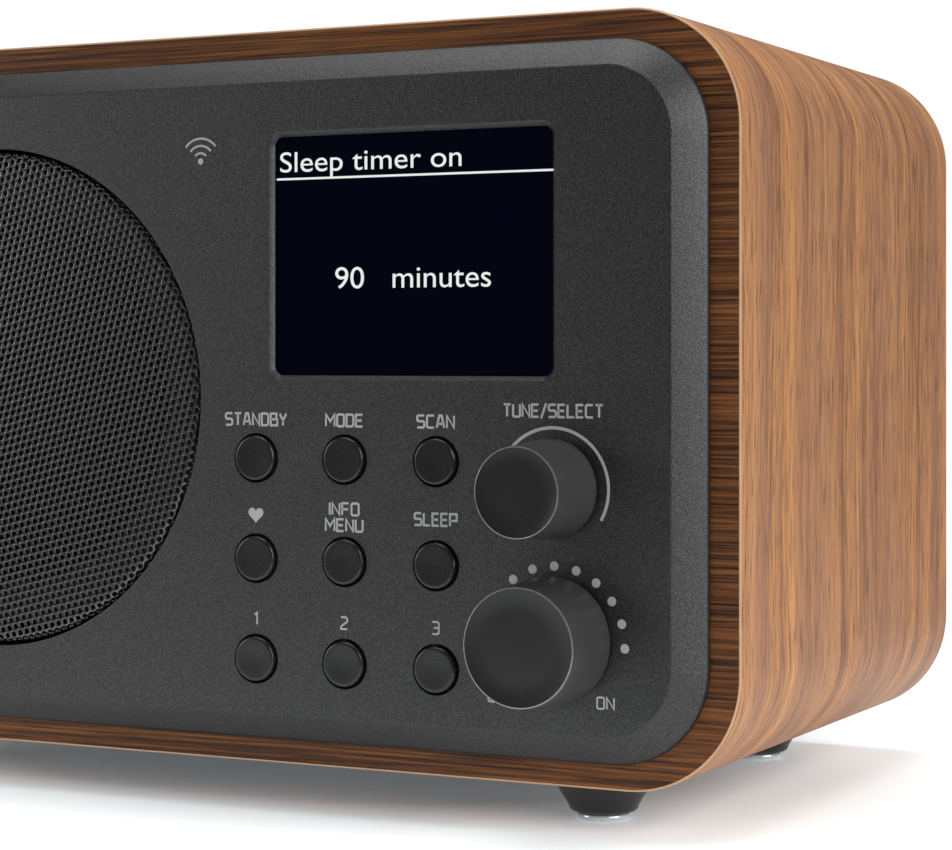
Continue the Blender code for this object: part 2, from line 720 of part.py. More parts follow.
# ---------------------------------------------------------------- speaker
def make_speaker():
    """A small full-range driver clamped behind the ledge: basket, magnet, coil, cone and suspension."""
    steel = finish("stamped steel", (0.08, 0.08, 0.085), 0.5, 0.7)
    ferrite = finish("ferrite", (0.07, 0.07, 0.07), 0.6, 0.3)
    paper = finish("black paper cone", (0.012, 0.012, 0.012), 0.8)
    foam = finish("rubber surround", (0.01, 0.01, 0.01), 0.6)
    resin = finish("yellow weave", (0.5, 0.32, 0.1), 0.8)
    copper = finish("copper winding", (0.7, 0.33, 0.15), 0.35, 1.0)

    sheet = BASKET_SHEET
    depth = BASKET_DEPTH
    lip = CONE_MOUTH + SURROUND_WIDTH
    groove = COIL_RADIUS + 2 * RUNNING
    place = (SPEAKER_X, BASKET_FRONT, SPEAKER_Z)
    basket = [
        (lip, 0.0),
        (BASKET_FLANGE, 0.0),
        (BASKET_FLANGE, sheet),
        (lip + sheet, sheet),
        (BASKET_BACK_RADIUS, depth),
        (groove, depth),
        (groove, depth - sheet),
        (BASKET_BACK_RADIUS - sheet, depth - sheet),
        (lip, sheet),
    ]
    frame = add_piece("speaker_basket", turned(basket, 32), place, TO_BACK, steel)
    windows = []
    half = 0.3 * BASKET_BACK_RADIUS
    for quarter in range(4):
        slot = block((BASKET_BACK_RADIUS - 4 * sheet, -half, 0.4 * depth), (BASKET_FLANGE, half, 0.8 * depth))
        spin = Matrix.Rotation(math.pi / 4 + quarter * math.pi / 2, 4, "Z")
        bmesh.ops.transform(slot, matrix=spin, verts=slot.verts)
        windows.append(slot)
    cut(frame, merged(windows), place, TO_BACK)

    plate = depth + GAP
    magnet_back = plate + MAGNET_HEIGHT
    magnet = [
        (0.0, plate),
        (POLE_RADIUS, plate),
        (POLE_RADIUS, magnet_back - YOKE_SHEET),
        (groove, magnet_back - YOKE_SHEET),
        (groove, plate),
        (MAGNET_RADIUS, plate),
        (MAGNET_RADIUS, magnet_back),
        (0.0, magnet_back),
    ]
    add_piece("speaker_magnet", turned(magnet, 28), place, TO_BACK, ferrite)

    mouth = CONE_MOUTH_SINK
    wall = CONE_WALL
    neck = mouth + CONE_DEPTH
    cone = [(CONE_NECK, neck), (CONE_MOUTH, mouth), (CONE_MOUTH, mouth + wall), (CONE_NECK, neck + wall)]
    add_piece("speaker_cone", turned(cone, 32), place, TO_BACK, paper)
    crown = neck - CAP_RISE
    shoulder = neck - 0.8 * CAP_RISE
    rim = neck - 2 * wall
    dome = [
        (0.0, crown),
        (0.5 * CAP_RADIUS, shoulder),
        (CAP_RADIUS, rim),
        (CAP_RADIUS - wall, rim + wall),
        (0.5 * CAP_RADIUS, shoulder + wall),
        (0.0, crown + wall),
    ]
    add_piece("speaker_dust_cap", turned(dome, 24), place, TO_BACK, paper)
    coil_start = neck + wall + GAP
    coil_end = coil_start + COIL_LENGTH
    inside = COIL_RADIUS - COIL_WALL
    coil = [(inside, coil_start), (COIL_RADIUS, coil_start), (COIL_RADIUS, coil_end), (inside, coil_end)]
    add_piece("voice_coil", turned(coil, 24), place, TO_BACK, copper)
    near = CONE_MOUTH + GAP
    far = lip - GAP
    middle = (near + far) / 2
    roll = [
        (near, mouth),
        (middle, mouth - SURROUND_RISE),
        (far, mouth),
        (far, mouth + wall),
        (middle, mouth - SURROUND_RISE + wall),
        (near, mouth + wall),
    ]
    add_piece("speaker_surround", turned(roll, 32), place, TO_BACK, foam)
    sits = depth - sheet - CONE_TRAVEL - 2 * wall
    near = COIL_RADIUS + GAP
    far = BASKET_BACK_RADIUS - 2 * sheet - GAP
    spider = [(near, sits), (far, sits), (far, sits + wall), (near, sits + wall)]
    add_piece("speaker_spider", turned(spider, 24), place, TO_BACK, resin)


# ---------------------------------------------------------------- electronics
def make_boards():
    green = finish("circuit board", (0.01, 0.10, 0.04), 0.45)
    tin = finish("tinned can", (0.6, 0.6, 0.6), 0.35, 1.0)
    left, right, low, high = control_board_box()
    front = CONTROL_BOARD_FRONT
    control = block((left, front, low), (right, front + BOARD_SHEET, high))
    add_piece("control_board", control, material=green)

    left, low = main_board_corner()
    right = left + MAIN_BOARD_WIDTH
    high = low + MAIN_BOARD_HEIGHT
    back = MAIN_BOARD_BACK
    front = back - BOARD_SHEET
    board = add_piece("main_board", block((left, front, low), (right, back, high)), material=green)
    step = 3 * CAPACITOR_RADIUS
    can_end = front - CAPACITOR_HEIGHT
    places = [left + step * (1 + number) for number in range(3)]
    cans = [along_y(CAPACITOR_RADIUS, x, high - step, can_end, front + GAP, 12) for x in places]
    join(board, merged(cans))
    can_front = front - GAP - TUNER_THICKNESS
    corner = (right - TUNER_WIDTH - step / 2, can_front, high - TUNER_HEIGHT - step / 2)
    can = block(corner, (corner[0] + TUNER_WIDTH, front - GAP, corner[2] + TUNER_HEIGHT))
    add_piece("tuner_module", can, material=tin)
    return can_front, corner


def main_board_corner():
    """Left edge and bottom edge of the main board."""
    left = RIGHT - BOARD - MAIN_BOARD_RIGHT_INSET - MAIN_BOARD_WIDTH
    return left, SLEEVE_BOTTOM + BOARD + MAIN_BOARD_FLOOR_INSET


def main_board_studs():
    left, low = main_board_corner()
    inset = 2 * STUD_RADIUS
    right = left + MAIN_BOARD_WIDTH
    high = low + MAIN_BOARD_HEIGHT
    return [(x, z) for x in (left + inset, right - inset) for z in (low + inset, high - inset)]


def make_leads(tuner_front, tuner_corner):
    copper = finish("lead jacket", (0.35, 0.02, 0.02), 0.5)
    black = finish("black lead", (0.015, 0.015, 0.015), 0.5)
    grey = finish("ribbon", (0.3, 0.3, 0.32), 0.6)
    left, low = main_board_corner()
    board_front = MAIN_BOARD_BACK - BOARD_SHEET
    basket_back = BASKET_FRONT + BASKET_DEPTH
    beside_magnet = SPEAKER_X + MAGNET_RADIUS + 3 * LEAD_RADIUS
    terminal = Vector((beside_magnet, basket_back + 2 * LEAD_RADIUS, SPEAKER_Z - TERMINAL_DROP))
    inlet = Vector((left + MAIN_BOARD_WIDTH * INLET_SHARE, board_front - GAP, low + INLET_RISE))
    droop = Vector((0.0, 0.0, -SPEAKER_LEAD_DROOP))
    add_lead(
        "speaker_lead",
        [
            terminal,
            terminal + Vector((4 * LEAD_STEP, LEAD_REACH, -2 * LEAD_STEP)),
            (terminal + inlet) / 2 + droop,
            inlet + Vector((0.0, -LEAD_REACH, -LEAD_STEP)),
            inlet,
        ],
        copper,
    )
    socket = Vector((ANTENNA_X, REAR_INSIDE - 2 * GAP - 4 * LEAD_STEP, ANTENNA_Z))
    middle = (tuner_corner[0] + TUNER_WIDTH / 2, tuner_corner[2] + TUNER_HEIGHT / 2)
    can_top = Vector((middle[0], tuner_front - GAP, middle[1]))
    add_lead(
        "antenna_lead",
        [
            socket,
            socket + Vector((0.0, -LEAD_REACH, -3 * LEAD_STEP)),
            (socket + can_top) / 2 + Vector((0.0, -ANTENNA_LEAD_BOW, -4 * LEAD_STEP)),
            can_top + Vector((0.0, -LEAD_REACH, 2 * LEAD_STEP)),
            can_top,
        ],
        black,
    )
    columns = button_columns()
    start = CONTROL_BOARD_FRONT + BOARD_SHEET + GAP
    end = board_front - GAP
    height = low + MAIN_BOARD_HEIGHT * RIBBON_SHARE
    loops = []
    left = columns[1] - RIBBON_WIDTH / 2
    right = columns[1] + RIBBON_WIDTH / 2
    for station in range(RIBBON_STATIONS + 1):
        t = station / RIBBON_STATIONS
        y = start + (end - start) * t
        under = height - RIBBON_SAG * 4 * t * (1 - t) - RIBBON_SHEET / 2
        over = under + RIBBON_SHEET
        loops.append([(left, y, under), (right, y, under), (right, y, over), (left, y, over)])
    add_piece("ribbon_cable", lofted(loops), material=grey)


# ---------------------------------------------------------------- rear
def socket_places():
    """Power, audio input and headphones, in a row on the main board."""
    left, low = main_board_corner()
    z = low + SOCKET_HEIGHT / 2
    middle = left + MAIN_BOARD_WIDTH / 2
    return {
        "dc_jack": (middle + SOCKET_PITCH, z),
        "aux_jack": (middle, z),
        "headphone_jack": (middle - SOCKET_PITCH, z),
    }


def make_rear_panel():
    black = finish("black rear moulding", (0.016, 0.016, 0.017), 0.55)
    rebate = BOARD - REBATE_LEDGE + REAR_FIT
    plate = [sleeve_loop(rebate, y) for y in (REAR_INSIDE, REAR_FACE)]
    panel = add_piece("rear_panel", lofted(plate), material=black)
    studs = [
        along_y(STUD_RADIUS, x, z, MAIN_BOARD_BACK + GAP, REAR_INSIDE + GAP, 8) for x, z in main_board_studs()
    ]
    join(panel, merged(studs))
    front = REAR_INSIDE - GAP
    back = REAR_FACE + GAP
    places = socket_places()
    holes = [along_y(PORT_RADIUS + PORT_WALL + GAP, SPEAKER_X, SPEAKER_Z, front, back, 28)]
    holes.append(along_y(BUSH_RADIUS + GAP, ANTENNA_X, ANTENNA_Z, front, back, 16))
    holes.append(along_y(POWER_NOSE + GAP, *places["dc_jack"], front, back, 16))
    for name in ("aux_jack", "headphone_jack"):
        holes.append(along_y(AUDIO_NOSE + GAP, *places[name], front, back, 16))
    holes += [along_y(SCREW_SHANK + GAP, x, z, front, back, 10) for x, z in screw_places()]
    cut(panel, merged(holes))


def make_rear_screws():
    zinc = finish("zinc screw", (0.55, 0.55, 0.56), 0.35, 1.0)
    seat = REAR_FACE + GAP
    for number, (x, z) in enumerate(screw_places(), start=1):
        tip = GAP - SCREW_LENGTH
        profile = [
            (0.0, SCREW_HEAD_HEIGHT),
            (SCREW_HEAD * 0.55, SCREW_HEAD_HEIGHT),
            (SCREW_HEAD * 0.9, SCREW_HEAD_HEIGHT * 0.6),
            (SCREW_HEAD, 0.0),
            (SCREW_SHANK, 0.0),
            (SCREW_SHANK, tip + SCREW_SHANK),
            (0.0, tip),
        ]
        screw = add_piece(f"rear_screw_{number}", turned(profile, 12), (x, seat, z), TO_BACK, zinc)
        top = SCREW_HEAD_HEIGHT
        reach = SCREW_HEAD * 0.5
        half = SCREW_CROSS / 2
        slot = block((-reach, -half, top - SCREW_CROSS), (reach, half, top + SCREW_CROSS))
        cut(screw, slot, (x, seat, z), TO_BACK)


def make_port():
    black = finish("black moulding", (0.012, 0.012, 0.013), 0.42)
    flange = REAR_FACE + GAP
    outer = PORT_RADIUS + PORT_WALL
    profile = [
        (PORT_RADIUS, -PORT_LENGTH),
        (outer, -PORT_LENGTH),
        (outer, 0.0),
        (PORT_FLANGE, 0.0),
        (PORT_FLANGE - PORT_FLANGE_SHEET / 2, PORT_FLANGE_SHEET),
        (PORT_RADIUS + PORT_FLANGE_SHEET, PORT_FLANGE_SHEET),
        (PORT_RADIUS, 0.0),
    ]
    add_piece("bass_port", turned(profile, 28), (SPEAKER_X, flange, SPEAKER_Z), TO_BACK, black)


def make_socket(name, place, body_size, nose, bore, pin, material):
    x, z = place
    half_width = body_size[0] / 2
    half_height = body_size[1] / 2
    front = MAIN_BOARD_BACK + GAP
    shoulder = REAR_INSIDE - GAP
    case = block((x - half_width, front, z - half_height), (x + half_width, shoulder, z + half_height))
    socket = add_piece(name, case, material=material)
    join(socket, along_y(nose, x, z, shoulder - GAP, REAR_FACE, 16))
    floor = front + POWER_PIN - REAR_FACE
    if pin:
        tip = -POWER_PIN
        hollow = [(0.0, GAP), (bore, GAP), (bore, floor), (pin, floor), (pin, tip), (0.0, tip)]
    else:
        hollow = [(0.0, GAP), (bore, GAP), (bore, floor), (0.0, floor)]
    cut(socket, turned(hollow, 16), (x, REAR_FACE, z), TO_BACK)


def make_sockets():
    black = finish("black socket", (0.01, 0.01, 0.01), 0.4)
    green = finish("green socket", (0.02, 0.2, 0.06), 0.4)
    places = socket_places()
    make_socket("dc_jack", places["dc_jack"], POWER_BODY, POWER_NOSE, POWER_BORE, POWER_PIN, black)
    make_socket("aux_jack", places["aux_jack"], AUDIO_BODY, AUDIO_NOSE, AUDIO_BORE, 0.0, black)
    make_socket("headphone_jack", places["headphone_jack"], AUDIO_BODY, AUDIO_NOSE, AUDIO_BORE, 0.0, green)


# ---------------------------------------------------------------- antenna
def make_antenna_mount():
    """A bush through the rear panel, and a fork that swivels in it with a pin for the mast's eye."""
    chrome = finish("chromed brass", (0.7, 0.7, 0.72), 0.15, 1.0)
    black = finish("black moulding", (0.012, 0.012, 0.013), 0.42)
    seat = REAR_FACE + GAP
    place = (ANTENNA_X, seat, ANTENNA_Z)
    bore = SWIVEL_STEM + GAP
    inside = -REAR_SHEET - GAP - BUSH_TAIL
    bush = [
        (bore, inside),
        (BUSH_RADIUS, inside),
        (BUSH_RADIUS, 0.0),
        (BUSH_FLANGE, 0.0),
        (BUSH_FLANGE, BUSH_FLANGE_SHEET),
        (bore, BUSH_FLANGE_SHEET),
    ]
    add_piece("antenna_base", turned(bush, 20), place, TO_BACK, black)

    disc = BUSH_FLANGE_SHEET + GAP
    disc_top = ANTENNA_Y - EYE_RADIUS - 2 * GAP - seat
    stem = [(0.0, inside), (SWIVEL_STEM, inside), (SWIVEL_STEM, disc), (SWIVEL_DISC, disc)]
    stem += [(SWIVEL_DISC, disc_top), (0.0, disc_top)]
    swivel = add_piece("antenna_swivel", turned(stem, 20), place, TO_BACK, chrome)
    inner = EYE_THICKNESS / 2 + GAP
    outer = inner + CHEEK_SHEET
    root = seat + disc_top - GAP
    for low, high in ((-outer, -inner), (inner, outer)):
        cheek = rod(CHEEK_RADIUS, low, high, 16)
        join(swivel, cheek, (ANTENNA_X, ANTENNA_Y, ANTENNA_Z))
        reach = CHEEK_RADIUS
        web = block((-reach, root - ANTENNA_Y, low), (reach, 0.0, high))
        join(swivel, web, (ANTENNA_X, ANTENNA_Y, ANTENNA_Z))
    join(swivel, rod(TILT_PIN, -outer + GAP, outer - GAP, 12), (ANTENNA_X, ANTENNA_Y, ANTENNA_Z))


def make_mast():
    """Three nested tubes and a rod, collapsed, each a step further out than the one round it."""
    chrome = finish("chromed brass", (0.7, 0.7, 0.72), 0.15, 1.0)
    place = (ANTENNA_X, ANTENNA_Y, ANTENNA_Z)
    end = MAST_START + MAST_LENGTH
    floor = MAST_START + MAST_PLUG
    for number, radius in enumerate(MAST_RADII, start=1):
        tip = end + (number - 1) * MAST_STEP
        start = MAST_START if number == 1 else floor + GAP * (number - 1)
        if number < len(MAST_RADII):
            bore = radius - MAST_WALL
            closed = floor if number == 1 else start + MAST_WALL
            profile = [(0.0, start), (radius, start), (radius, tip), (bore, tip)]
            profile += [(bore, closed), (0.0, closed)]
            floor = closed
        else:
            profile = [(0.0, start), (radius, start), (radius, tip), (0.0, tip)]
        section = add_piece(f"antenna_section_{number}", turned(profile, 16), place, TO_LEFT, chrome)
        if number == 1:
            half = EYE_THICKNESS / 2
            join(section, rod(EYE_RADIUS, -half, half, 16), place)
            neck = block((-MAST_START - GAP, -EYE_RADIUS * 0.8, -half), (0.0, EYE_RADIUS * 0.8, half))
            join(section, neck, place)
            cut(section, rod(EYE_BORE, -EYE_RADIUS, EYE_RADIUS, 12), place)
    cap = [(0.0, tip + GAP), (TIP_RADIUS, tip + GAP), (TIP_RADIUS, tip + TIP_LENGTH - TIP_EDGE)]
    cap += [(TIP_RADIUS - TIP_EDGE, tip + TIP_LENGTH), (0.0, tip + TIP_LENGTH)]
    add_piece("antenna_tip", turned(cap, 16), place, TO_LEFT, chrome)


clear_scene()
make_sleeve()
make_feet()
make_front_panel()
make_grille()
make_display()
make_buttons()
make_controls()
make_speaker()
tuner_front, tuner_corner = make_boards()
make_leads(tuner_front, tuner_corner)
make_rear_panel()
make_rear_screws()
make_port()
make_sockets()
make_antenna_mount()
make_mast()
bpy.context.view_layer.update()
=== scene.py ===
import math

import bmesh
import bpy
import numpy as np
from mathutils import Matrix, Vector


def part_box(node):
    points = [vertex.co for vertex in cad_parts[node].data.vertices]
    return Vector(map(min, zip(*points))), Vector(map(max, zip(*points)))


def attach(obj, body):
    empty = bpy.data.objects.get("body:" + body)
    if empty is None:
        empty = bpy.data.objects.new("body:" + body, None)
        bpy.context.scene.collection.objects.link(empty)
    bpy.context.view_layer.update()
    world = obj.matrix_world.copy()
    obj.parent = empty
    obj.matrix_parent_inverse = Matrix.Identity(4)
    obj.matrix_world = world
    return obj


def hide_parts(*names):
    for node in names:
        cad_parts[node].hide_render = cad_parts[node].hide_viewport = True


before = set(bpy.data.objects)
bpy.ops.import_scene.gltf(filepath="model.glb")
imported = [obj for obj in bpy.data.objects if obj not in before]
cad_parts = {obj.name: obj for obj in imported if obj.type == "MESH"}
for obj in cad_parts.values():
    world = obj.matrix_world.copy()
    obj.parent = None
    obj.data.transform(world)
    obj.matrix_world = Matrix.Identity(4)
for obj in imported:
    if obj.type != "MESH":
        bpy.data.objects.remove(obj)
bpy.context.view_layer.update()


# -------------------- The view
# The radio is seen from its right front corner through a long level lens. The lens is shifted
# down instead of tilted, so the upright edges of the cabinet stay upright.
sleeve_low, sleeve_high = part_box("cabinet_sleeve")
EYE_PAST_RIGHT = 0.16138
EYE_BEFORE_FRONT = 0.42285
EYE_ABOVE_SLEEVE = 0.07812
EYE_TURN = 0.4671
LENS = 97.49
LENS_DROP = 0.0744
show = bpy.context.scene.collection.objects.link
camera = bpy.data.objects.new("camera", bpy.data.cameras.new("camera"))
camera.data.lens = LENS
camera.data.shift_y = -LENS_DROP
camera.location = (
    sleeve_high.x + EYE_PAST_RIGHT,
    sleeve_low.y - EYE_BEFORE_FRONT,
    sleeve_low.z + EYE_ABOVE_SLEEVE,
)
camera.rotation_euler = (math.pi / 2, 0.0, EYE_TURN)
show(camera)
bpy.context.scene.camera = camera


# -------------------- The table and lights
# A pale matt table under four soft boxes: a broad one on the right, one overhead, one low on the
# left and a weak one high in front, with a little even light. The table glows evenly and fades away
# further out; under the radio its glow is dimmed and cooled into a painted shadow.
class Flow:
    """A socket in a material. Sums on it add Math nodes, so wear * 0.3 is another socket."""

    def __init__(self, tree, socket=None):
        self.tree = tree
        self.socket = socket

    def node(self, kind, settings=None, sockets=None, output=0):
        """Add a node: first its settings, or a ramp's stops, then the values or links it takes."""
        made = self.tree.nodes.new(kind)
        for key, value in (settings or {}).items():
            if key == "stops":
                while len(made.color_ramp.elements) > 1:
                    made.color_ramp.elements.remove(made.color_ramp.elements[0])
                made.color_ramp.elements[0].position = value[0][0]
                made.color_ramp.elements[0].color = (*value[0][1], 1.0)
                for place, colour in value[1:]:
                    made.color_ramp.elements.new(place).color = (*colour, 1.0)
            else:
                setattr(made, key, value)
        for key, value in (sockets or {}).items():
            self.give(made.inputs[key], value)
        return Flow(self.tree, made.outputs[output])

    def give(self, socket, value):
        if isinstance(value, Flow):
            self.tree.links.new(value.socket, socket)
        else:
            socket.default_value = value

    def sum(self, operation, *values):
        return self.node("ShaderNodeMath", {"operation": operation}, dict(enumerate(values)))

    def __add__(self, other):
        return self.sum("ADD", self, other)

    def __sub__(self, other):
        return self.sum("SUBTRACT", self, other)

    def __mul__(self, other):
        return self.sum("MULTIPLY", self, other)


def new_finish(name):
    """A material and a Flow to start its nodes from."""
    made = bpy.data.materials.new(name)
    made.use_nodes = True
    return made, Flow(made.node_tree)


def coat(finish, **values):
    """Put values or links on the shader: base_color goes to its Base Color socket."""
    shader = finish.node_tree.nodes["Principled BSDF"]
    for key, value in values.items():
        if isinstance(value, tuple) and len(value) == 3:
            value = (*value, 1.0)
        socket = key.replace("_", " ").title().replace("Ior", "IOR")
        Flow(finish.node_tree).give(shader.inputs[socket], value)


def noise(flow, where, stretch, detail=3.0, roughness=0.55, distortion=0.0):
    """Noise of a place whose three axes are each stretched first, in cells to the metre."""
    place = flow.node("ShaderNodeMapping", None, {"Vector": where, "Scale": stretch})
    sockets = {
        "Vector": place, "Scale": 1.0, "Detail": detail, "Roughness": roughness, "Distortion": distortion,
    }
    return flow.node("ShaderNodeTexNoise", None, sockets)


def spread(flow, value, start, end, low=0.0, high=1.0):
    """The value from start to end, spread over low to high."""
    return flow.node("ShaderNodeMapRange", None, {"Value": value, 1: start, 2: end, 3: low, 4: high})


def length_of(flow, place):
    return flow.node("ShaderNodeVectorMath", {"operation": "LENGTH"}, {0: place}, output=1)


def blended(flow, share, near, far):
    """Share 0 gives the near colour, 1 the far one."""
    near, far = [(*c, 1.0) if isinstance(c, tuple) else c for c in (near, far)]
    return flow.node("ShaderNodeMix", {"data_type": "RGBA"}, {0: share, 6: near, 7: far}, output=2)


def ramped(flow, value, *stops):
    return flow.node("ShaderNodeValToRGB", {"stops": stops}, {"Fac": value})


def bumped(flow, height, distance, strength=1.0):
    sockets = {"Height": height, "Distance": distance, "Strength": strength}
    return flow.node("ShaderNodeBump", None, sockets)


def place_of(flow):
    return flow.node("ShaderNodeTexCoord", output=3)


def even_noise(flow, cells, detail=3.0):
    """Noise of the piece's own place, alike on all three axes."""
    return noise(flow, place_of(flow), (cells, cells, cells), detail)


TABLE_REACH = 4.0
# The dim, cool glow under the radio is a painted shadow; the open glow beyond it is the even floor.
PAINTED_SHADOW_WIDTH = 0.66
PAINTED_SHADOW_GLOW = (0.06, 0.088, 0.105)
OPEN_GLOW = (0.44, 0.468, 0.48)
table_mesh = bpy.data.meshes.new("table")
corners = [(-TABLE_REACH, -TABLE_REACH, 0), (TABLE_REACH, -TABLE_REACH, 0)]
corners += [(TABLE_REACH, TABLE_REACH, 0), (-TABLE_REACH, TABLE_REACH, 0)]
table_mesh.from_pydata(corners, [], [(0, 1, 2, 3)])
table = bpy.data.objects.new("table", table_mesh)
show(table)
white_board, flow = new_finish("white board")
spot = place_of(flow)
cloud = noise(flow, spot, (3.0, 3.0, 3.0))
# An ellipse under the radio where the glow drops to the painted shadow colour.
painted_shadow_place = flow.node("ShaderNodeMapping", None, {"Vector": spot, "Scale": (PAINTED_SHADOW_WIDTH, 1.0, 1.0)})
past_painted_shadow = spread(flow, length_of(flow, painted_shadow_place), 0.050, 0.098)
solid = spread(flow, length_of(flow, spot), 0.13, 0.42, 1.0, 0.0)
coat(
    white_board, base_color=blended(flow, cloud, (0.86, 0.86, 0.86), (0.9, 0.9, 0.9)), roughness=0.8,
    emission_color=blended(flow, past_painted_shadow, PAINTED_SHADOW_GLOW, OPEN_GLOW), emission_strength=1.0, alpha=solid,
)
table_mesh.materials.append(white_board)

AIM_HEIGHT = 0.07
EVEN_LIGHT = 0.11
WHITE_SEEN = 0.94
SOFT_BOXES = {
    "right box": ((1.05, -0.34, 0.46), 0.9, 12.0),
    "top box": ((-0.05, 0.05, 1.20), 1.0, 12.5),
    "left box": ((-1.24, -0.90, 0.34), 0.6, 5.6),
    "front box": ((-0.50, -0.85, 1.20), 0.6, 1.0),
}
for name, (place, side, power) in SOFT_BOXES.items():
    lamp = bpy.data.lights.new(name, "AREA")
    lamp.size = side
    lamp.energy = power
    box = bpy.data.objects.new(name, lamp)
    reach = np.array(place) - (0.0, 0.0, AIM_HEIGHT)
    tilt = math.acos(reach[2] / np.linalg.norm(reach))
    box.rotation_euler = (tilt, 0.0, math.atan2(reach[1], reach[0]) + math.pi / 2)
    box.location = place
    show(box)

room = bpy.data.worlds.new("room")
room.use_nodes = True
backdrop = room.node_tree.nodes["Background"]
backdrop.inputs["Color"].default_value = (1.0, 1.0, 1.0, 1.0)
seen = Flow(room.node_tree).node("ShaderNodeLightPath")
Flow(room.node_tree).give(backdrop.inputs["Strength"], seen * WHITE_SEEN + EVEN_LIGHT)
bpy.context.scene.world = room
bpy.context.scene.view_settings.view_transform = "Standard"


# -------------------- Wooden sleeve
# Boards bent into a rounded sleeve, with walnut veneer wrapped round it. The grain runs round
# the sleeve on the outside and straight across on the front edge; the cut arris shows pale.
BOARD = 0.009
SLEEVE_CORNER = 0.0215
ARRIS = 0.0004
REBATE = 0.0040
REBATE_DEPTH = 0.0063
PALE_ROWS = 3
STRAIGHT_ROWS = 5


def quads(rows, columns, round_rows=False):
    """Corner numbers of a grid's quads, with each row closed on itself and the rows if asked."""
    row = np.arange(rows if round_rows else rows - 1)[:, None]
    column = np.arange(columns)[None, :]
    below, beside = (row + 1) % rows, (column + 1) % columns
    upper = [row * columns + column, row * columns + beside]
    lower = [below * columns + beside, below * columns + column]
    return np.stack(upper + lower, -1).reshape(-1, 4)


def outline(half_width, half_height, corner, steps=16):
    """A rounded rectangle from the bottom corner round: corner centre + corner (cos, sin)."""
    turn = np.linspace(0.0, math.pi / 2, steps + 1)[None, :]
    quarter = np.array([3, 0, 1, 2])[:, None]
    angle = quarter * math.pi / 2 + turn
    x = np.array([1, 1, -1, -1])[:, None] * (half_width - corner) + corner * np.cos(angle)
    z = np.array([-1, 1, 1, -1])[:, None] * (half_height - corner) + corner * np.sin(angle)
    return np.stack([x, z], -1).reshape(-1, 2)


def stacked(outlines, depths, middle=(0.0, 0.0), finish=0, round_rows=False):
    """Equal outlines (x, z), each at its own depth y, skinned in turn."""
    rows = []
    for loop, depth in zip(outlines, depths):
        x, z = (loop + middle).T
        rows.append(np.stack([x, np.full(len(loop), depth), z], -1))
    return np.concatenate(rows), quads(len(rows), len(outlines[0]), round_rows), finish


def add_piece(name, parts, finishes, stands_for=(), body="cabinet", sharp=32, mend=True):
    """Parts are (points, faces, finish number). They join into one mesh whose doubles are merged."""
    points, faces, numbers, start = [], [], [], 0
    for part_points, part_faces, number in parts:
        points.append(np.asarray(part_points, float))
        faces += [[corner + start for corner in face] for face in np.asarray(part_faces, object).tolist()]
        numbers += [number] * len(part_faces)
        start += len(part_points)
    mesh = bpy.data.meshes.new(name)
    mesh.from_pydata(np.concatenate(points).tolist(), [], faces)
    for finish in finishes:
        mesh.materials.append(finish)
    mesh.polygons.foreach_set("material_index", numbers)
    if mend:
        shell = bmesh.new()
        shell.from_mesh(mesh)
        bmesh.ops.remove_doubles(shell, verts=shell.verts, dist=2e-6)
        bmesh.ops.recalc_face_normals(shell, faces=shell.faces)
        shell.to_mesh(mesh)
        shell.free()
    mesh.shade_smooth()
    mesh.set_sharp_from_angle(angle=math.radians(sharp))
    piece = bpy.data.objects.new(name, mesh)
    show(piece)
    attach(piece, body)
    for node in stands_for:
        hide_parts(node)
    return piece


def quarter_round(start, end, steps=4):
    """(inset, depth) pairs on a quarter ellipse, leaving start square to the front."""
    wide, deep = end[0] - start[0], end[1] - start[1]
    turn = np.linspace(0.0, math.pi / 2, steps + 1)
    return [(start[0] + wide * math.sin(a), start[1] + deep * (1 - math.cos(a))) for a in turn]


wood_front, wood_back = sleeve_low.y, sleeve_high.y
front_round = quarter_round((ARRIS, wood_front), (0.0, wood_front + ARRIS))
back_round = quarter_round((0.0, ARRIS), (ARRIS, 0.0))
rows = front_round + [(inset, wood_back - depth) for inset, depth in back_round]
rebate_floor = wood_back - REBATE_DEPTH
rows += [(REBATE, wood_back), (REBATE, rebate_floor), (BOARD, rebate_floor), (BOARD, wood_front)]
half_width = (sleeve_high.x - sleeve_low.x) / 2
half_height = (sleeve_high.z - sleeve_low.z) / 2
rings = []
for inset, depth in rows:
    ring = outline(half_width - inset, half_height - inset, SLEEVE_CORNER - inset, 24)
    rings.append(np.concatenate([[[0.0, inset - half_height]], ring]))
sleeve_middle = (0.0, (sleeve_high.z + sleeve_low.z) / 2)
sleeve_part = stacked(rings, [depth for _, depth in rows], sleeve_middle, round_rows=True)
outer = rings[len(front_round) - 1]
run = np.concatenate([[0.0], np.cumsum(np.linalg.norm(np.roll(outer, -1, 0) - outer, axis=1))])

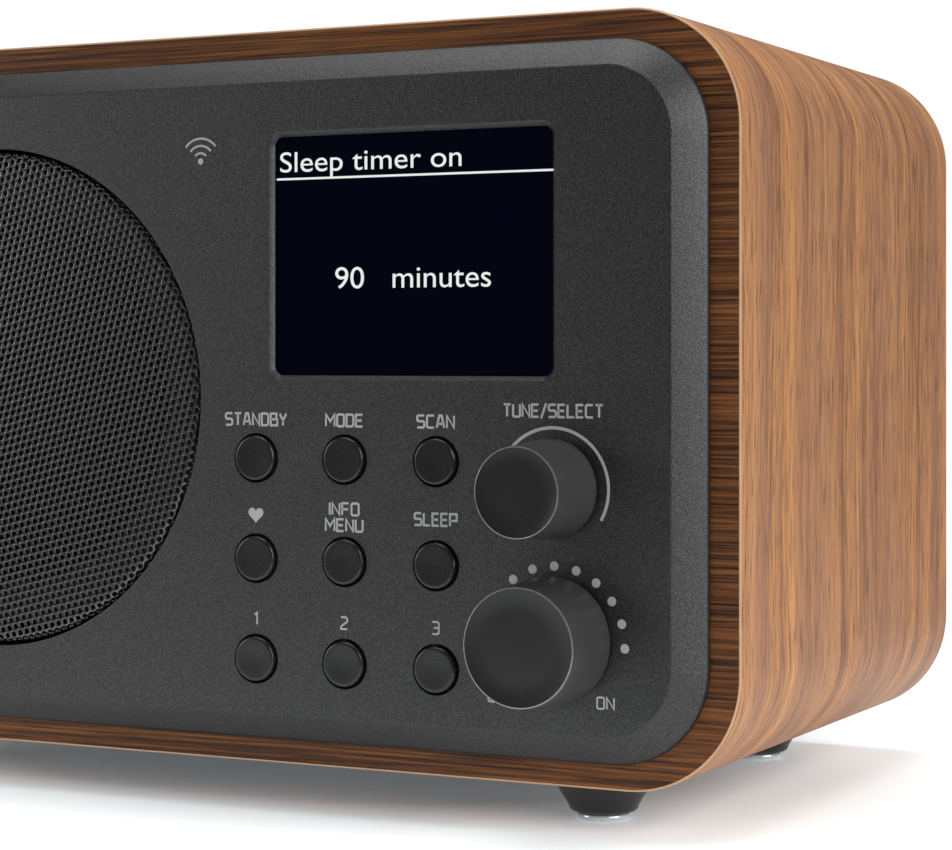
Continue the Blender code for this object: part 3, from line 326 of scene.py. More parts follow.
wrapped, flow = new_finish("walnut wrapped round")
grain = flow.node("ShaderNodeUVMap", {"uv_map": "grain"})
sway = flow.node("ShaderNodeCombineXYZ", None, {"Y": noise(flow, grain, (9.0, 12.0, 1.0), 2.0) * 0.007})
grain = flow.node("ShaderNodeVectorMath", {"operation": "ADD"}, {0: grain, 1: sway})
drift = noise(flow, grain, (7.0, 16.0, 1.0), 2.0)
bands = noise(flow, grain, (2.6, 85.0, 1.0), 4.0, 0.6, 0.25)
streaks = noise(flow, grain, (11.0, 480.0, 1.0), 5.0, 0.7)
fibres = noise(flow, grain, (60.0, 950.0, 1.0), 4.0, 0.85)
pores = noise(flow, grain, (110.0, 1500.0, 1.0), 2.0, 0.6)
tone = bands * 0.36 + streaks * 0.24 + fibres * 0.34 + drift * 0.06
colour = ramped(
    flow, tone,
    (0.395, (0.120, 0.056, 0.032)),
    (0.450, (0.245, 0.118, 0.061)),
    (0.500, (0.385, 0.183, 0.086)),
    (0.540, (0.490, 0.226, 0.084)),
    (0.600, (0.590, 0.315, 0.140)),
)
rosy = noise(flow, grain, (1.2, 46.0, 1.0), 2.0)
rosy = spread(flow, rosy, 0.47, 0.60, 0.0, 0.45)
colour = blended(flow, rosy, colour, (0.26, 0.138, 0.092))
flecks = spread(flow, pores, 0.54, 0.66, 0.0, 0.75)
colour = blended(flow, flecks, colour, (0.13, 0.062, 0.036))
height = streaks * 0.6 - flecks
coat(
    wrapped, base_color=colour, roughness=streaks * 0.22 + 0.40, specular_ior_level=0.28,
    normal=bumped(flow, height, 0.00006, 0.5),
)

across, flow = new_finish("walnut straight across")
place = place_of(flow)
lines = noise(flow, place, (26.0, 200.0, 1900.0), 4.0, 0.75)
belts = noise(flow, place, (6.0, 20.0, 150.0), 3.0, 0.6)
colour = ramped(
    flow, lines * 0.82 + belts * 0.18,
    (0.38, (0.018, 0.008, 0.004)),
    (0.45, (0.062, 0.023, 0.009)),
    (0.52, (0.126, 0.044, 0.012)),
    (0.62, (0.215, 0.085, 0.026)),
)
coat(
    across, base_color=colour, roughness=lines * 0.2 + 0.45, specular_ior_level=0.2,
    normal=bumped(flow, lines, 0.00008, 0.5),
)

cut_edge, flow = new_finish("cut veneer edge")
mottle = even_noise(flow, 300.0)
coat(cut_edge, base_color=blended(flow, mottle, (0.42, 0.24, 0.13), (0.60, 0.37, 0.22)), roughness=0.5)

sleeve = add_piece(
    "wooden_sleeve", [sleeve_part], [wrapped, across, cut_edge],
    ["cabinet_sleeve"], mend=False,
)
columns = len(outer)
row_of = np.repeat(np.arange(len(rows)), columns)
kinds = np.zeros(len(row_of), int)
kinds[row_of < PALE_ROWS] = 2
kinds[row_of >= len(rows) - STRAIGHT_ROWS] = 1
sleeve.data.polygons.foreach_set("material_index", kinds.tolist())
column_of = np.tile(np.arange(columns), len(rows))
depth_of = np.array([depth for _, depth in rows])
u = np.stack([run[column_of], run[column_of + 1], run[column_of + 1], run[column_of]], -1)
near, far = depth_of[row_of], depth_of[(row_of + 1) % len(rows)]
v = np.stack([near, near, far, far], -1)
layer = sleeve.data.uv_layers.new(name="grain")
layer.data.foreach_set("uv", np.stack([u, v], -1).reshape(-1).tolist())


# -------------------- Feet
# Four turned black plastic feet, each with a clear silicone bumper pressed into its sole.
FOOT_EDGE = 0.0012
FOOT_TAPER = 0.695
FOOT_RIM = 0.0003
BUMPER_EDGE = 0.35


def turned(profile, middle, axis="Y", steps=64, finish=0):
    """A profile (radius, height) spun about an axis: middle + height + radius (cos, sin).

    A middle of two values is a place on the front (x, z).
    """
    if len(middle) == 2:
        middle = (middle[0], 0.0, middle[1])
    radius, height = np.array(profile, float).T
    angle = np.linspace(0.0, math.tau, steps, endpoint=False)
    first, second = radius[:, None] * np.cos(angle), radius[:, None] * np.sin(angle)
    along = np.broadcast_to(height[:, None], first.shape)
    order = {"X": (along, first, second), "Y": (first, along, second), "Z": (first, second, along)}
    points = np.stack(order[axis], -1).reshape(-1, 3) + np.array(middle)
    return points, quads(len(radius), steps), finish


def moulded(name, colour, roughness, grain=0.00002, cells=2600.0):
    """Moulded plastic: one colour with a faint mottle and a fine eroded grain."""
    made, flow = new_finish(name)
    fine = even_noise(flow, cells, 2.0)
    mottle = even_noise(flow, 120.0)
    dark, light = (tuple(c * share for c in colour) for share in (0.82, 1.18))
    coat(
        made, base_color=blended(flow, mottle, dark, light), roughness=fine * 0.14 + (roughness - 0.07),
        normal=bumped(flow, fine, grain, 0.6),
    )
    return made


black_foot = moulded("black foot plastic", (0.012, 0.012, 0.013), 0.38)
bumper, flow = new_finish("clear silicone bumper")
haze = even_noise(flow, 500.0)
colour = blended(flow, haze, (0.55, 0.56, 0.58), (0.78, 0.79, 0.80))
coat(bumper, base_color=colour, roughness=0.14, metallic=0.35)
for corner in ("front_left", "front_right", "rear_left", "rear_right"):
    low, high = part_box(f"foot_{corner}")
    middle = ((low.x + high.x) / 2, (low.y + high.y) / 2, 0.0)
    wide = (high.x - low.x) / 2
    sole = FOOT_TAPER * wide - FOOT_EDGE
    profile = [(0.0, low.z), *quarter_round((sole, low.z), (sole + FOOT_EDGE, low.z + FOOT_EDGE))]
    profile += [(wide - FOOT_RIM, high.z - FOOT_EDGE), (wide, high.z - FOOT_EDGE / 2)]
    profile += [(wide, high.z), (0.0, high.z)]
    add_piece(
        f"turned_foot_{corner}", [turned(profile, middle, "Z")], [black_foot],
        [f"foot_{corner}"],
    )
    low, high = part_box(f"foot_pad_{corner}")
    wide = (high.x - low.x) / 2
    edge = BUMPER_EDGE * (high.z - low.z)
    profile = [(0.0, low.z), (wide - edge, low.z), (wide, low.z + edge), (wide, high.z - edge / 3)]
    profile += [(wide - edge / 3, high.z), (0.0, high.z)]
    add_piece(
        f"bumper_{corner}", [turned(profile, middle, "Z", 48)], [bumper],
        [f"foot_pad_{corner}"], sharp=60,
    )


# -------------------- Front panel
# One moulding with a wide bevel, sprayed in dark grey metallic paint. It is open for the
# grille, the display, nine buttons and two shafts, and its skirt plugs into the sleeve.
panel_low, panel_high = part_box("front_panel")
FACE = panel_low.y
PANEL_BACK = FACE + 0.0025
PANEL_CORNER = 0.018
BEVEL = 0.0052
RIM = 0.0012
SOFT_EDGE = 0.00025
grille_low, grille_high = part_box("speaker_grille")
lens_low, lens_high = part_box("display_window")
GRILLE_RADIUS = (grille_high.x - grille_low.x) / 2
grille_middle = ((grille_high.x + grille_low.x) / 2, (grille_high.z + grille_low.z) / 2)
OPENING = GRILLE_RADIUS + 0.0007
LENS_OVERLAP = 0.0015
window_middle = ((lens_low.x + lens_high.x) / 2, (lens_low.z + lens_high.z) / 2)
window_half = ((lens_high.x - lens_low.x) / 2 - LENS_OVERLAP, (lens_high.z - lens_low.z) / 2 - LENS_OVERLAP)
WINDOW_CORNER = 0.0018
CHAMFER = 0.0009
PLAY = 0.0003
BUTTON_HOLE = 0.00465
SHAFT_HOLE = 0.0048
SKIRT_WALL = 0.0020
HOLE_EDGE = 0.0002
BUTTONS = ("standby", "mode", "scan", "favourite", "info", "sleep", "preset_1", "preset_2", "preset_3")


def middle_of(node):
    low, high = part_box(node)
    return (low.x + high.x) / 2, (low.z + high.z) / 2


def circle(radius, steps=64):
    """Points radius (cos, sin)."""
    angle = np.linspace(0.0, math.tau, steps, endpoint=False)
    return radius * np.stack([np.cos(angle), np.sin(angle)], -1)


def flat_mesh(curve):
    """Corners and faces of a flat curve or of letters, taken as a mesh and then cleared away."""
    holder = bpy.data.objects.new("flat", curve)
    show(holder)
    bpy.context.view_layer.update()
    flat = bpy.data.meshes.new_from_object(holder.evaluated_get(bpy.context.evaluated_depsgraph_get()))
    spots = np.empty(len(flat.vertices) * 3)
    flat.vertices.foreach_get("co", spots)
    faces = [list(face.vertices) for face in flat.polygons]
    bpy.data.objects.remove(holder)
    bpy.data.meshes.remove(flat)
    return spots.reshape(-1, 3), faces


def filled(loops, depth, finish=0):
    """A flat face at one depth, bounded by the first loop and open inside the others."""
    curve = bpy.data.curves.new("flat", "CURVE")
    curve.dimensions = "2D"
    curve.fill_mode = "BOTH"
    for loop in loops:
        spline = curve.splines.new("POLY")
        spline.points.add(len(loop) - 1)
        corners = np.pad(loop, ((0, 0), (0, 2)))
        corners[:, 3] = 1.0
        spline.points.foreach_set("co", corners.ravel())
        spline.use_cyclic_u = True
    spots, faces = flat_mesh(curve)
    return np.stack([spots[:, 0], np.full(len(spots), depth), spots[:, 1]], -1), faces, finish


panel_middle = (0.0, (panel_high.z + panel_low.z) / 2)
panel_half = ((panel_high.x - panel_low.x) / 2, (panel_high.z - panel_low.z) / 2)


def panel_outline(inset):
    return outline(panel_half[0] - inset, panel_half[1] - inset, PANEL_CORNER - inset, 24)


rim_front = wood_front - RIM
slope = [(BEVEL + SOFT_EDGE, FACE), (BEVEL + 0.3 * SOFT_EDGE, FACE + 0.1 * SOFT_EDGE)]
slope += [(BEVEL - 0.6 * SOFT_EDGE, FACE + 0.6 * SOFT_EDGE), (2.4 * SOFT_EDGE, rim_front - 1.8 * SOFT_EDGE)]
slope += [(0.8 * SOFT_EDGE, rim_front - 0.4 * SOFT_EDGE), (0.0, rim_front + 1.2 * SOFT_EDGE)]
slope += [(0.0, wood_front - PLAY)]
skirt_half = (half_width - BOARD - PLAY, half_height - BOARD - PLAY)
skirt_shift = sleeve_middle[1] - panel_middle[1]


def skirt_outline(inset):
    corner = SLEEVE_CORNER - BOARD - PLAY - inset
    return outline(skirt_half[0] - inset, skirt_half[1] - inset, corner, 24) + (0.0, skirt_shift)


loops = [panel_outline(inset) for inset, _ in slope]
depths = [depth for _, depth in slope]
loops += [skirt_outline(inset) for inset in (0.0, 0.0, SKIRT_WALL, SKIRT_WALL)]
depths += [wood_front - PLAY, panel_high.y, panel_high.y, PANEL_BACK]
RIM_ROW = 4
parts = [stacked(loops[:RIM_ROW + 1], depths[:RIM_ROW + 1], panel_middle)]
# The rim rows take the second finish, which is near-black as painted shade.
parts.append(stacked(loops[RIM_ROW:], depths[RIM_ROW:], panel_middle, finish=1))

openings = [(grille_middle, OPENING, 128)]
openings += [(middle_of(f"button_{name}"), BUTTON_HOLE, 48) for name in BUTTONS]
openings += [(middle_of(f"{name}_knob"), SHAFT_HOLE, 48) for name in ("tune", "volume")]
front_loops = [loops[0] + panel_middle]
back_loops = [loops[-1] + panel_middle]
for middle, radius, steps in openings:
    wall = [(radius + HOLE_EDGE, FACE), (radius + 0.3 * HOLE_EDGE, FACE + 0.25 * HOLE_EDGE)]
    wall += [(radius, FACE + HOLE_EDGE), (radius, PANEL_BACK)]
    rings = [circle(r, steps) for r, _ in wall]
    parts.append(stacked(rings, [depth for _, depth in wall], middle))
    front_loops.append(rings[0] + middle)
    back_loops.append(rings[-1] + middle)
wall = [(CHAMFER + 0.5 * HOLE_EDGE, FACE), (CHAMFER, FACE + 0.2 * HOLE_EDGE)]
wall += [(0.25 * HOLE_EDGE, FACE + CHAMFER), (0.0, FACE + CHAMFER + 0.5 * HOLE_EDGE)]
lens_seat = lens_low.y - PLAY
wall += [(0.0, lens_seat), (LENS_OVERLAP + PLAY, lens_seat), (LENS_OVERLAP + PLAY, PANEL_BACK)]
rings = [outline(window_half[0] + m, window_half[1] + m, WINDOW_CORNER + m, 12) for m, _ in wall]
parts.append(stacked(rings, [depth for _, depth in wall], window_middle))
front_loops.append(rings[0] + window_middle)
back_loops.append(rings[-1] + window_middle)

sprayed, flow = new_finish("dark grey spray")
place = place_of(flow)
grit = noise(flow, place, (3600.0, 3600.0, 3600.0), 2.0, 0.6)
peel = noise(flow, place, (900.0, 900.0, 900.0), 3.0)
flakes = flow.node("ShaderNodeTexVoronoi", {"feature": "F1"}, {"Vector": place, "Scale": 4300.0}, output=0)
sparkle = spread(flow, flakes, 0.30, 0.12)
colour = blended(flow, grit, (0.013, 0.013, 0.0135), (0.092, 0.092, 0.093))
colour = blended(flow, sparkle * 0.75, colour, (0.22, 0.22, 0.225))
coat(
    sprayed, base_color=colour, metallic=0.85, roughness=grit * 0.25 + 0.31,
    normal=bumped(flow, grit + peel * 0.6, 0.00007, 0.8),
)
parts += [filled(front_loops, FACE), filled(back_loops, PANEL_BACK)]
# The thin rim between the bevel and the wood is near-black as painted shade, standing in for the shadow in
# the gap there.
painted_shade_rim = moulded("unsprayed panel edge", (0.008, 0.008, 0.010), 0.45)
panel = add_piece("bevelled_panel", parts, [sprayed, painted_shade_rim], ["front_panel"], sharp=28)
SQUARE_ON = 0.99999


def level_off(piece):
    """Faces square to the front are shaded flat, so the curves beside them don't tint them."""
    facing = np.empty(3 * len(piece.data.polygons))
    piece.data.polygons.foreach_get("normal", facing)
    curved = np.abs(facing.reshape(-1, 3)[:, 1]) < SQUARE_ON
    piece.data.polygons.foreach_set("use_smooth", curved.tolist())


level_off(panel)


# -------------------- Speaker grille
# A disc of thin steel punched with a close pattern of round holes, painted gloss black. Its
# edge rolls back into the opening, and the roll takes the last holes with it.
PITCH = 0.0016
HOLE = 0.00056
LATTICE_TURN = math.radians(14.0)
SHEET = 0.0007
ROLL = 0.00132
PILLOW = 0.00008
grille_front = grille_low.y
flat_radius = GRILLE_RADIUS - ROLL
sheet_radius = flat_radius + ROLL * math.pi / 2


def rolled(x, z, depth):
    """Flat inside flat_radius; past it the distance out becomes an angle round the roll."""
    out = np.maximum(np.hypot(x, z), 1e-9)
    angle = np.clip((out - flat_radius) / ROLL, 0.0, math.pi / 2)
    reach = np.where(out > flat_radius, flat_radius + (ROLL - depth) * np.sin(angle), out)
    back = np.where(out > flat_radius, ROLL - (ROLL - depth) * np.cos(angle), depth)
    x, z = x * reach / out + grille_middle[0], z * reach / out + grille_middle[1]
    return np.stack([x, grille_front + back, z], -1)


count = int(sheet_radius / PITCH) + 3
across_number, up_number = np.meshgrid(np.arange(-count, count + 1), np.arange(-2 * count, 2 * count + 1))
lattice_x = ((across_number + 0.5 * (up_number % 2)) * PITCH).ravel()
lattice_z = (up_number * PITCH * math.sqrt(3) / 2).ravel()
cosine, sine = math.cos(LATTICE_TURN), math.sin(LATTICE_TURN)
centres = np.stack([lattice_x, lattice_z], -1) @ np.array([[cosine, -sine], [sine, cosine]]).T
centres = centres[np.hypot(*centres.T) < sheet_radius + 0.2 * PITCH]
angle = np.arange(12) * math.pi / 6
cell_reach = PITCH / 2 / np.cos((angle + math.pi / 6) % (math.pi / 3) - math.pi / 6)
pillow = PILLOW * (1.0 - (cell_reach - cell_reach.min()) / np.ptp(cell_reach))
punched = ((0.00015, 0.00003), (0.00007, 0.00007), (0.0, 0.00019), (-0.00002, SHEET))
rings = [(cell_reach, pillow)] + [(np.full(12, HOLE + wider), depth) for wider, depth in punched]
gloss_black, flow = new_finish("gloss black steel")
speck = even_noise(flow, 1500.0, 2.0)
coat(
    gloss_black, base_color=blended(flow, speck, (0.003, 0.003, 0.003), (0.008, 0.008, 0.008)),
    roughness=speck * 0.12 + 0.08, specular_ior_level=1.0, coat_weight=0.4, coat_roughness=0.10,
    normal=bumped(flow, speck, 0.00001, 0.4),
)
for side, chosen in (("left", centres[:, 0] < 0), ("right", centres[:, 0] >= 0)):
    some = centres[chosen]
    layers = []
    for reach, depth in rings:
        x = some[:, :1] + reach * np.cos(angle + LATTICE_TURN)
        z = some[:, 1:] + reach * np.sin(angle + LATTICE_TURN)
        out = np.hypot(x, z)
        shrink = np.minimum(1.0, sheet_radius / out)
        layers.append(rolled(x * shrink, z * shrink, depth))
    points = np.stack(layers, 1).reshape(-1, 3)
    cell_faces = quads(len(rings), 12)
    faces = (np.arange(len(some))[:, None, None] * 12 * len(rings) + cell_faces).reshape(-1, 4)
    add_piece(
        f"grille_{side}", [(points, faces, 0)], [gloss_black], ["speaker_grille"], sharp=75,
    )
edge = [(GRILLE_RADIUS, grille_front + ROLL), (GRILLE_RADIUS, grille_high.y)]
edge += [(GRILLE_RADIUS - SHEET, grille_high.y), (GRILLE_RADIUS - SHEET, grille_front + ROLL)]
flange_part = turned(edge, grille_middle, "Y", 128)
add_piece("grille_flange", [flange_part], [gloss_black], ["speaker_grille"])


# -------------------- Colour display
# A black glass lens glued behind the chamfered opening, with the lit screen right under it.
# The figures lie on the glass's face: a heading over a thin rule, and one large line.
glass, flow = new_finish("black display glass")
glow = even_noise(flow, 30.0, 2.0)
coat(
    glass, base_color=blended(flow, glow, (0.001, 0.001, 0.004), (0.001, 0.001, 0.006)),
    roughness=0.05, specular_ior_level=0.10,
    emission_color=blended(flow, glow, (0.0, 0.0, 0.55), (0.0, 0.02, 1.0)), emission_strength=0.0018,
)
GLASS_EDGE = 0.0001
sheet_loops = []
for inset in (GLASS_EDGE, 0.0, 0.0):
    past = LENS_OVERLAP - inset
    sheet_loops.append(outline(window_half[0] + past, window_half[1] + past, WINDOW_CORNER + past, 8))
sheet_depths = [lens_low.y, lens_low.y + GLASS_EDGE, lens_high.y]
lens_part = stacked(sheet_loops, sheet_depths, window_middle)
lens_faces = [filled([sheet_loops[n] + window_middle], sheet_depths[n]) for n in (0, 2)]
add_piece("lens_glass", [lens_part, *lens_faces], [glass], ["display_window"])

lit_white, flow = new_finish("lit white figures")
shimmer = even_noise(flow, 250.0, 1.0)
coat(
    lit_white, base_color=(0.02, 0.02, 0.02), roughness=0.3, emission_strength=0.86,
    emission_color=blended(flow, shimmer, (0.86, 0.93, 0.88), (0.95, 1.0, 0.98)),
)
lit_depth = lens_low.y - 0.00004
FONT_CAP = 0.73
RULE_DROP = 0.0077
RULE_WEIGHT = 0.0004
RULE_END = 0.0001
window_left = window_middle[0] - window_half[0]
window_right = window_middle[0] + window_half[0]
window_top = window_middle[1] + window_half[1]


def lettered(name, words, cap_height, width, left, base, finish):
    """Words as a flat mesh: built-in letters scaled to a cap height and a width, then stood up."""
    letters = bpy.data.curves.new(name, "FONT")
    letters.body = words
    spots, faces = flat_mesh(letters)
    x = (spots[:, 0] - spots[:, 0].min()) / np.ptp(spots[:, 0]) * width + left
    z = spots[:, 1] / FONT_CAP * cap_height + base
    part = (np.stack([x, np.full(len(x), lit_depth), z], -1), faces, 0)
    add_piece(name, [part], [finish], mend=False)


heading_place = (window_left + 0.0008, window_top - 0.0066)
figures_place = (window_left + 0.0128, window_middle[1] - 0.0062)
lettered("screen_heading", "Sleep timer on", 0.0040, 0.0385, *heading_place, lit_white)
lettered("screen_figures", "90   minutes", 0.0042, 0.0325, *figures_place, lit_white)
rule_heights = (window_top - RULE_DROP, window_top - RULE_DROP - RULE_WEIGHT)
rule = [(window_left + RULE_END, z) for z in rule_heights]
rule += [(window_right - RULE_END, z) for z in reversed(rule_heights)]
rule_points = np.array([(x, lit_depth, z) for x, z in rule])
add_piece("screen_rule", [(rule_points, [[0, 1, 2, 3]], 0)], [lit_white], mend=False)


# -------------------- Push buttons
# Nine round caps of soft black rubber with rounded edges, each on its own switch. They slide
# straight back in holes a little larger than themselves.
BUTTON_RADIUS = 0.00425
BUTTON_FILLET = 0.0005
BUTTON_FLANGE = 0.0015
BUTTON_STEM = 0.0020
DISH = 0.00012
rubber = moulded("soft black rubber", (0.011, 0.011, 0.012), 0.26, 0.00002, 2200.0)
for name in BUTTONS:
    node = f"button_{name}"
    low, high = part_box(node)
    flange = (high.x - low.x) / 2
    flat_top = BUTTON_RADIUS - BUTTON_FILLET
    profile = [(0.0, low.y + DISH), (0.5 * BUTTON_RADIUS, low.y + 0.75 * DISH)]
    profile += [(flat_top - 0.4 * BUTTON_FILLET, low.y)]
    profile += quarter_round((flat_top, low.y), (BUTTON_RADIUS, low.y + BUTTON_FILLET), 6)
    profile += [(BUTTON_RADIUS, PANEL_BACK + PLAY), (flange, PANEL_BACK + PLAY)]
    profile += [(flange, PANEL_BACK + BUTTON_FLANGE), (BUTTON_STEM, PANEL_BACK + BUTTON_FLANGE)]
    profile += [(BUTTON_STEM, high.y), (0.0, high.y)]
    cap = turned(profile, middle_of(node), "Y", 48)
    add_piece(f"{node}_cap", [cap], [rubber], [node], node)


# -------------------- Knobs
# Two hollow tapered knobs in satin black, pushed onto steel shafts. A thin light metallic ring round
# the front edge of each is a painted highlight, and their sides are painted lighter than their faces as a
# painted highlight.
# The sides have a satin finish and are painted lighter than the faces as a painted highlight.
knob_side_painted_lit = moulded("satin black knob side", (0.034, 0.034, 0.035), 0.34, 0.00002, 2400.0)
satin = moulded("satin black knob", (0.009, 0.009, 0.010), 0.30, 0.00002, 2400.0)
# The ring round each knob's front edge is painted light as a highlight along that edge.
painted_highlight_ring, flow = new_finish("bright cut edge")
ring_streaks = noise(flow, place_of(flow), (900.0, 4000.0, 900.0), 2.0)
colour = blended(flow, ring_streaks, (0.17, 0.17, 0.17), (0.38, 0.38, 0.38))
coat(painted_highlight_ring, base_color=colour, metallic=0.7, roughness=0.30)
KNOB_TIPS = {"tune": 0.0081, "volume": 0.0106}
KNOB_CUT = 0.00012
KNOB_DISH = 0.00008
KNOB_WALL = 0.0015
KNOB_DEPTH = 0.010
BOSS = 0.0048
SHAFT_BORE = 0.0033
for name, tip in KNOB_TIPS.items():
    low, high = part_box(f"{name}_knob")
    middle = middle_of(f"{name}_knob")
    base = (high.x - low.x) / 2
    inside = base - KNOB_WALL
    floor = high.y - KNOB_DEPTH
    boss_end = high.y - KNOB_WALL
    edge = [(tip - 2 * KNOB_CUT, low.y), (tip - 0.4 * KNOB_CUT, low.y + 0.4 * KNOB_CUT)]
    edge += [(tip, low.y + 1.6 * KNOB_CUT)]
    face = [(0.0, low.y + KNOB_DISH), (0.6 * tip, low.y + 0.6 * KNOB_DISH)]
    face += [(tip - 3 * KNOB_CUT, low.y + 0.5 * KNOB_DISH), edge[0]]
    side = [edge[2], (base - 0.0001, high.y - 0.0002), (base - 0.0003, high.y), (inside, high.y)]
    side += [(inside, floor), (BOSS, floor), (BOSS, boss_end), (SHAFT_BORE, boss_end)]
    side += [(SHAFT_BORE, floor), (0.0, floor)]
    shells = [turned(face, middle), turned(edge, middle, finish=1), turned(side, middle, finish=2)]
    add_piece(
        f"{name}_grip", shells, [satin, painted_highlight_ring, knob_side_painted_lit], [f"{name}_knob"],
        f"{name}_dial", sharp=40,
    )


# -------------------- Printed marks
# Pale grey symbols screen-printed on the paint: squared letters over the buttons, an arc round
# the tuning knob and a row of dots round the volume knob.
STROKE = 0.00042
THIN_STROKE = 0.00034
CAP = 0.0022
SMALL_CAP = 0.0020
LETTER_SPACE = 1.15
LETTERS = {
    "S": [
        [(3, 5), (0.5, 5), (0, 4.5), (0, 3.1), (0.5, 2.6), (2.5, 2.6), (3, 2.1), (3, 0.5), (2.5, 0), (0, 0)],
    ],
    "T": [[(0, 5), (3, 5)], [(1.5, 5), (1.5, 0)]],
    "A": [[(0, 0), (1.1, 5), (2.1, 5), (3.2, 0)], [(0.4, 1.6), (2.8, 1.6)]],
    "N": [[(0, 0), (0, 5), (3, 0), (3, 5)]],
    "D": [[(0, 0), (0, 5), (2.3, 5), (3, 4.3), (3, 0.7), (2.3, 0), (0, 0)]],
    "B": [[(0, 2.6), (2.6, 2.6), (2.6, 5), (0, 5), (0, 0), (3, 0), (3, 2.6), (2.6, 2.6)]],
    "Y": [[(0, 5), (1.5, 2.2), (3, 5)], [(1.5, 2.2), (1.5, 0)]],
    "M": [[(0, 0), (0, 5), (1.9, 2), (3.8, 5), (3.8, 0)]],
    "O": [[(0.5, 0), (0, 0.5), (0, 4.5), (0.5, 5), (2.5, 5), (3, 4.5), (3, 0.5), (2.5, 0), (0.5, 0)]],
    "E": [[(2.8, 5), (0, 5), (0, 0), (2.8, 0)], [(0, 2.5), (2.5, 2.5)]],
    "C": [[(3, 5), (0.5, 5), (0, 4.5), (0, 0.5), (0.5, 0), (3, 0)]],
    "I": [[(0, 0), (0, 5)]],
    "F": [[(2.8, 5), (0, 5), (0, 0)], [(0, 2.5), (2.5, 2.5)]],
    "U": [[(0, 5), (0, 0.5), (0.5, 0), (2.5, 0), (3, 0.5), (3, 5)]],
    "L": [[(0, 5), (0, 0), (2.8, 0)]],
    "P": [[(0, 0), (0, 5), (3, 5), (3, 2.2), (0, 2.2)]],
    "/": [[(0, -0.6), (2.2, 5.6)]],
    "1": [[(0, 4.1), (1.2, 5), (1.2, 0)]],
    "2": [[(0, 5), (2.4, 5), (3, 4.4), (3, 3.2), (0, 1.0), (0, 0), (3, 0)]],
    "3": [[(0, 5), (2.5, 5), (3, 4.5), (3, 0.5), (2.5, 0), (0, 0)], [(0.8, 2.6), (3, 2.6)]],
}
print_depth = FACE - 0.00003
ink, flow = new_finish("pale grey ink")
worn = even_noise(flow, 2500.0, 2.0)
coat(ink, base_color=blended(flow, worn, (0.32, 0.32, 0.32), (0.46, 0.46, 0.46)), roughness=0.55)


def stroked(path, weight):
    """A ribbon along a path: each point moves half the weight along its mitre, both ways."""
    path = np.array(path, float)
    closed = len(path) > 2 and np.allclose(path[0], path[-1])
    step = np.diff(path, axis=0)
    step /= np.linalg.norm(step, axis=1)[:, None]
    before = np.concatenate([step[-1:] if closed else step[:1], step])
    after = np.concatenate([step, step[:1] if closed else step[-1:]])
    normal = np.stack([-(before + after)[:, 1], (before + after)[:, 0]], -1)
    normal /= np.linalg.norm(normal, axis=1)[:, None]
    half = np.sum(normal * np.stack([-after[:, 1], after[:, 0]], -1), axis=1)
    offset = normal * (weight / 2 / np.maximum(half, 0.5))[:, None]
    ends = np.concatenate([path + offset, path - offset])
    n = np.arange(len(path) - 1)
    return ends, np.stack([n, n + len(path), n + len(path) + 1, n + 1], -1)


def inked(name, ribbons):
    """Flat ribbons (x, z) laid just in front of the paint, facing forwards."""
    parts = []
    for spots, faces in ribbons:
        points = np.stack([spots[:, 0], np.full(len(spots), print_depth), spots[:, 1]], -1)
        parts.append((points, faces, 0))
    add_piece(name, parts, [ink], mend=False)


def printed(name, words, width, middle, base, cap=CAP, stroke=STROKE):
    """Squared letters set in a row and fitted to a width, centred on middle."""
    unit = cap / 5
    widths = [max(x for path in LETTERS[letter] for x, _ in path) for letter in words]
    total = sum(widths) + (len(words) - 1) * LETTER_SPACE
    scale = (width - stroke) / max(total * unit, 1e-9) if width else 1.0
    cursor = -total / 2
    ribbons = []
    for letter, wide in zip(words, widths):
        for path in LETTERS[letter]:
            spots = np.array(path) * unit + (cursor * unit, 0.0)
            ribbons.append(stroked(spots * (scale, 1.0) + (middle, base), stroke))
        cursor += wide + LETTER_SPACE
    inked(name, ribbons)


WORDS = [("standby", 0.0138, 0.0062), ("mode", 0.0082, 0.0062)]
WORDS += [("scan", 0.0080, 0.0062), ("sleep", 0.0091, 0.0073)]
for name, width, rise in WORDS:
    x, z = middle_of(f"button_{name}")
    printed(f"label_{name}", name.upper(), width, x, z + rise)
for number in ("1", "2", "3"):
    x, z = middle_of(f"button_preset_{number}")
    printed(f"label_preset_{number}", number, 0.0, x, z + 0.0065, stroke=THIN_STROKE)
x, z = middle_of("button_info")
printed("label_info", "INFO", 0.0066, x, z + 0.0087)
printed("label_menu", "MENU", 0.0083, x, z + 0.0057)
tune_x, tune_z = middle_of("tune_knob")
printed("label_tune_select", "TUNE/SELECT", 0.0199, tune_x, tune_z + 0.0128)
volume_x, volume_z = middle_of("volume_knob")
SWITCH_ASIDE = 0.0103
SWITCH_DROP = 0.0117
for words, width, side in (("ON", 0.0036, 1), ("OFF", 0.0054, -1)):
    x, z = volume_x + side * SWITCH_ASIDE, volume_z - SWITCH_DROP
    printed(f"label_{words.lower()}", words, width, x, z, SMALL_CAP, THIN_STROKE)

ARC_RADIUS = 0.01088
ARC_WEIGHT = 0.00058
DOTS = 11
DOT_STEP = 18.3
DOT_START = -1.5
DOT_CIRCLE = 0.0137
DOT_RADIUS = 0.00085


def arc_points(radius, start, end, middle, steps):
    """Points middle + radius (cos, sin) from one angle to another, in degrees."""
    angle = np.linspace(math.radians(start), math.radians(end), steps)
    return radius * np.stack([np.cos(angle), np.sin(angle)], -1) + middle


inked("tuning_arc", [stroked(arc_points(ARC_RADIUS, -30, 210, (tune_x, tune_z), 61), ARC_WEIGHT)])


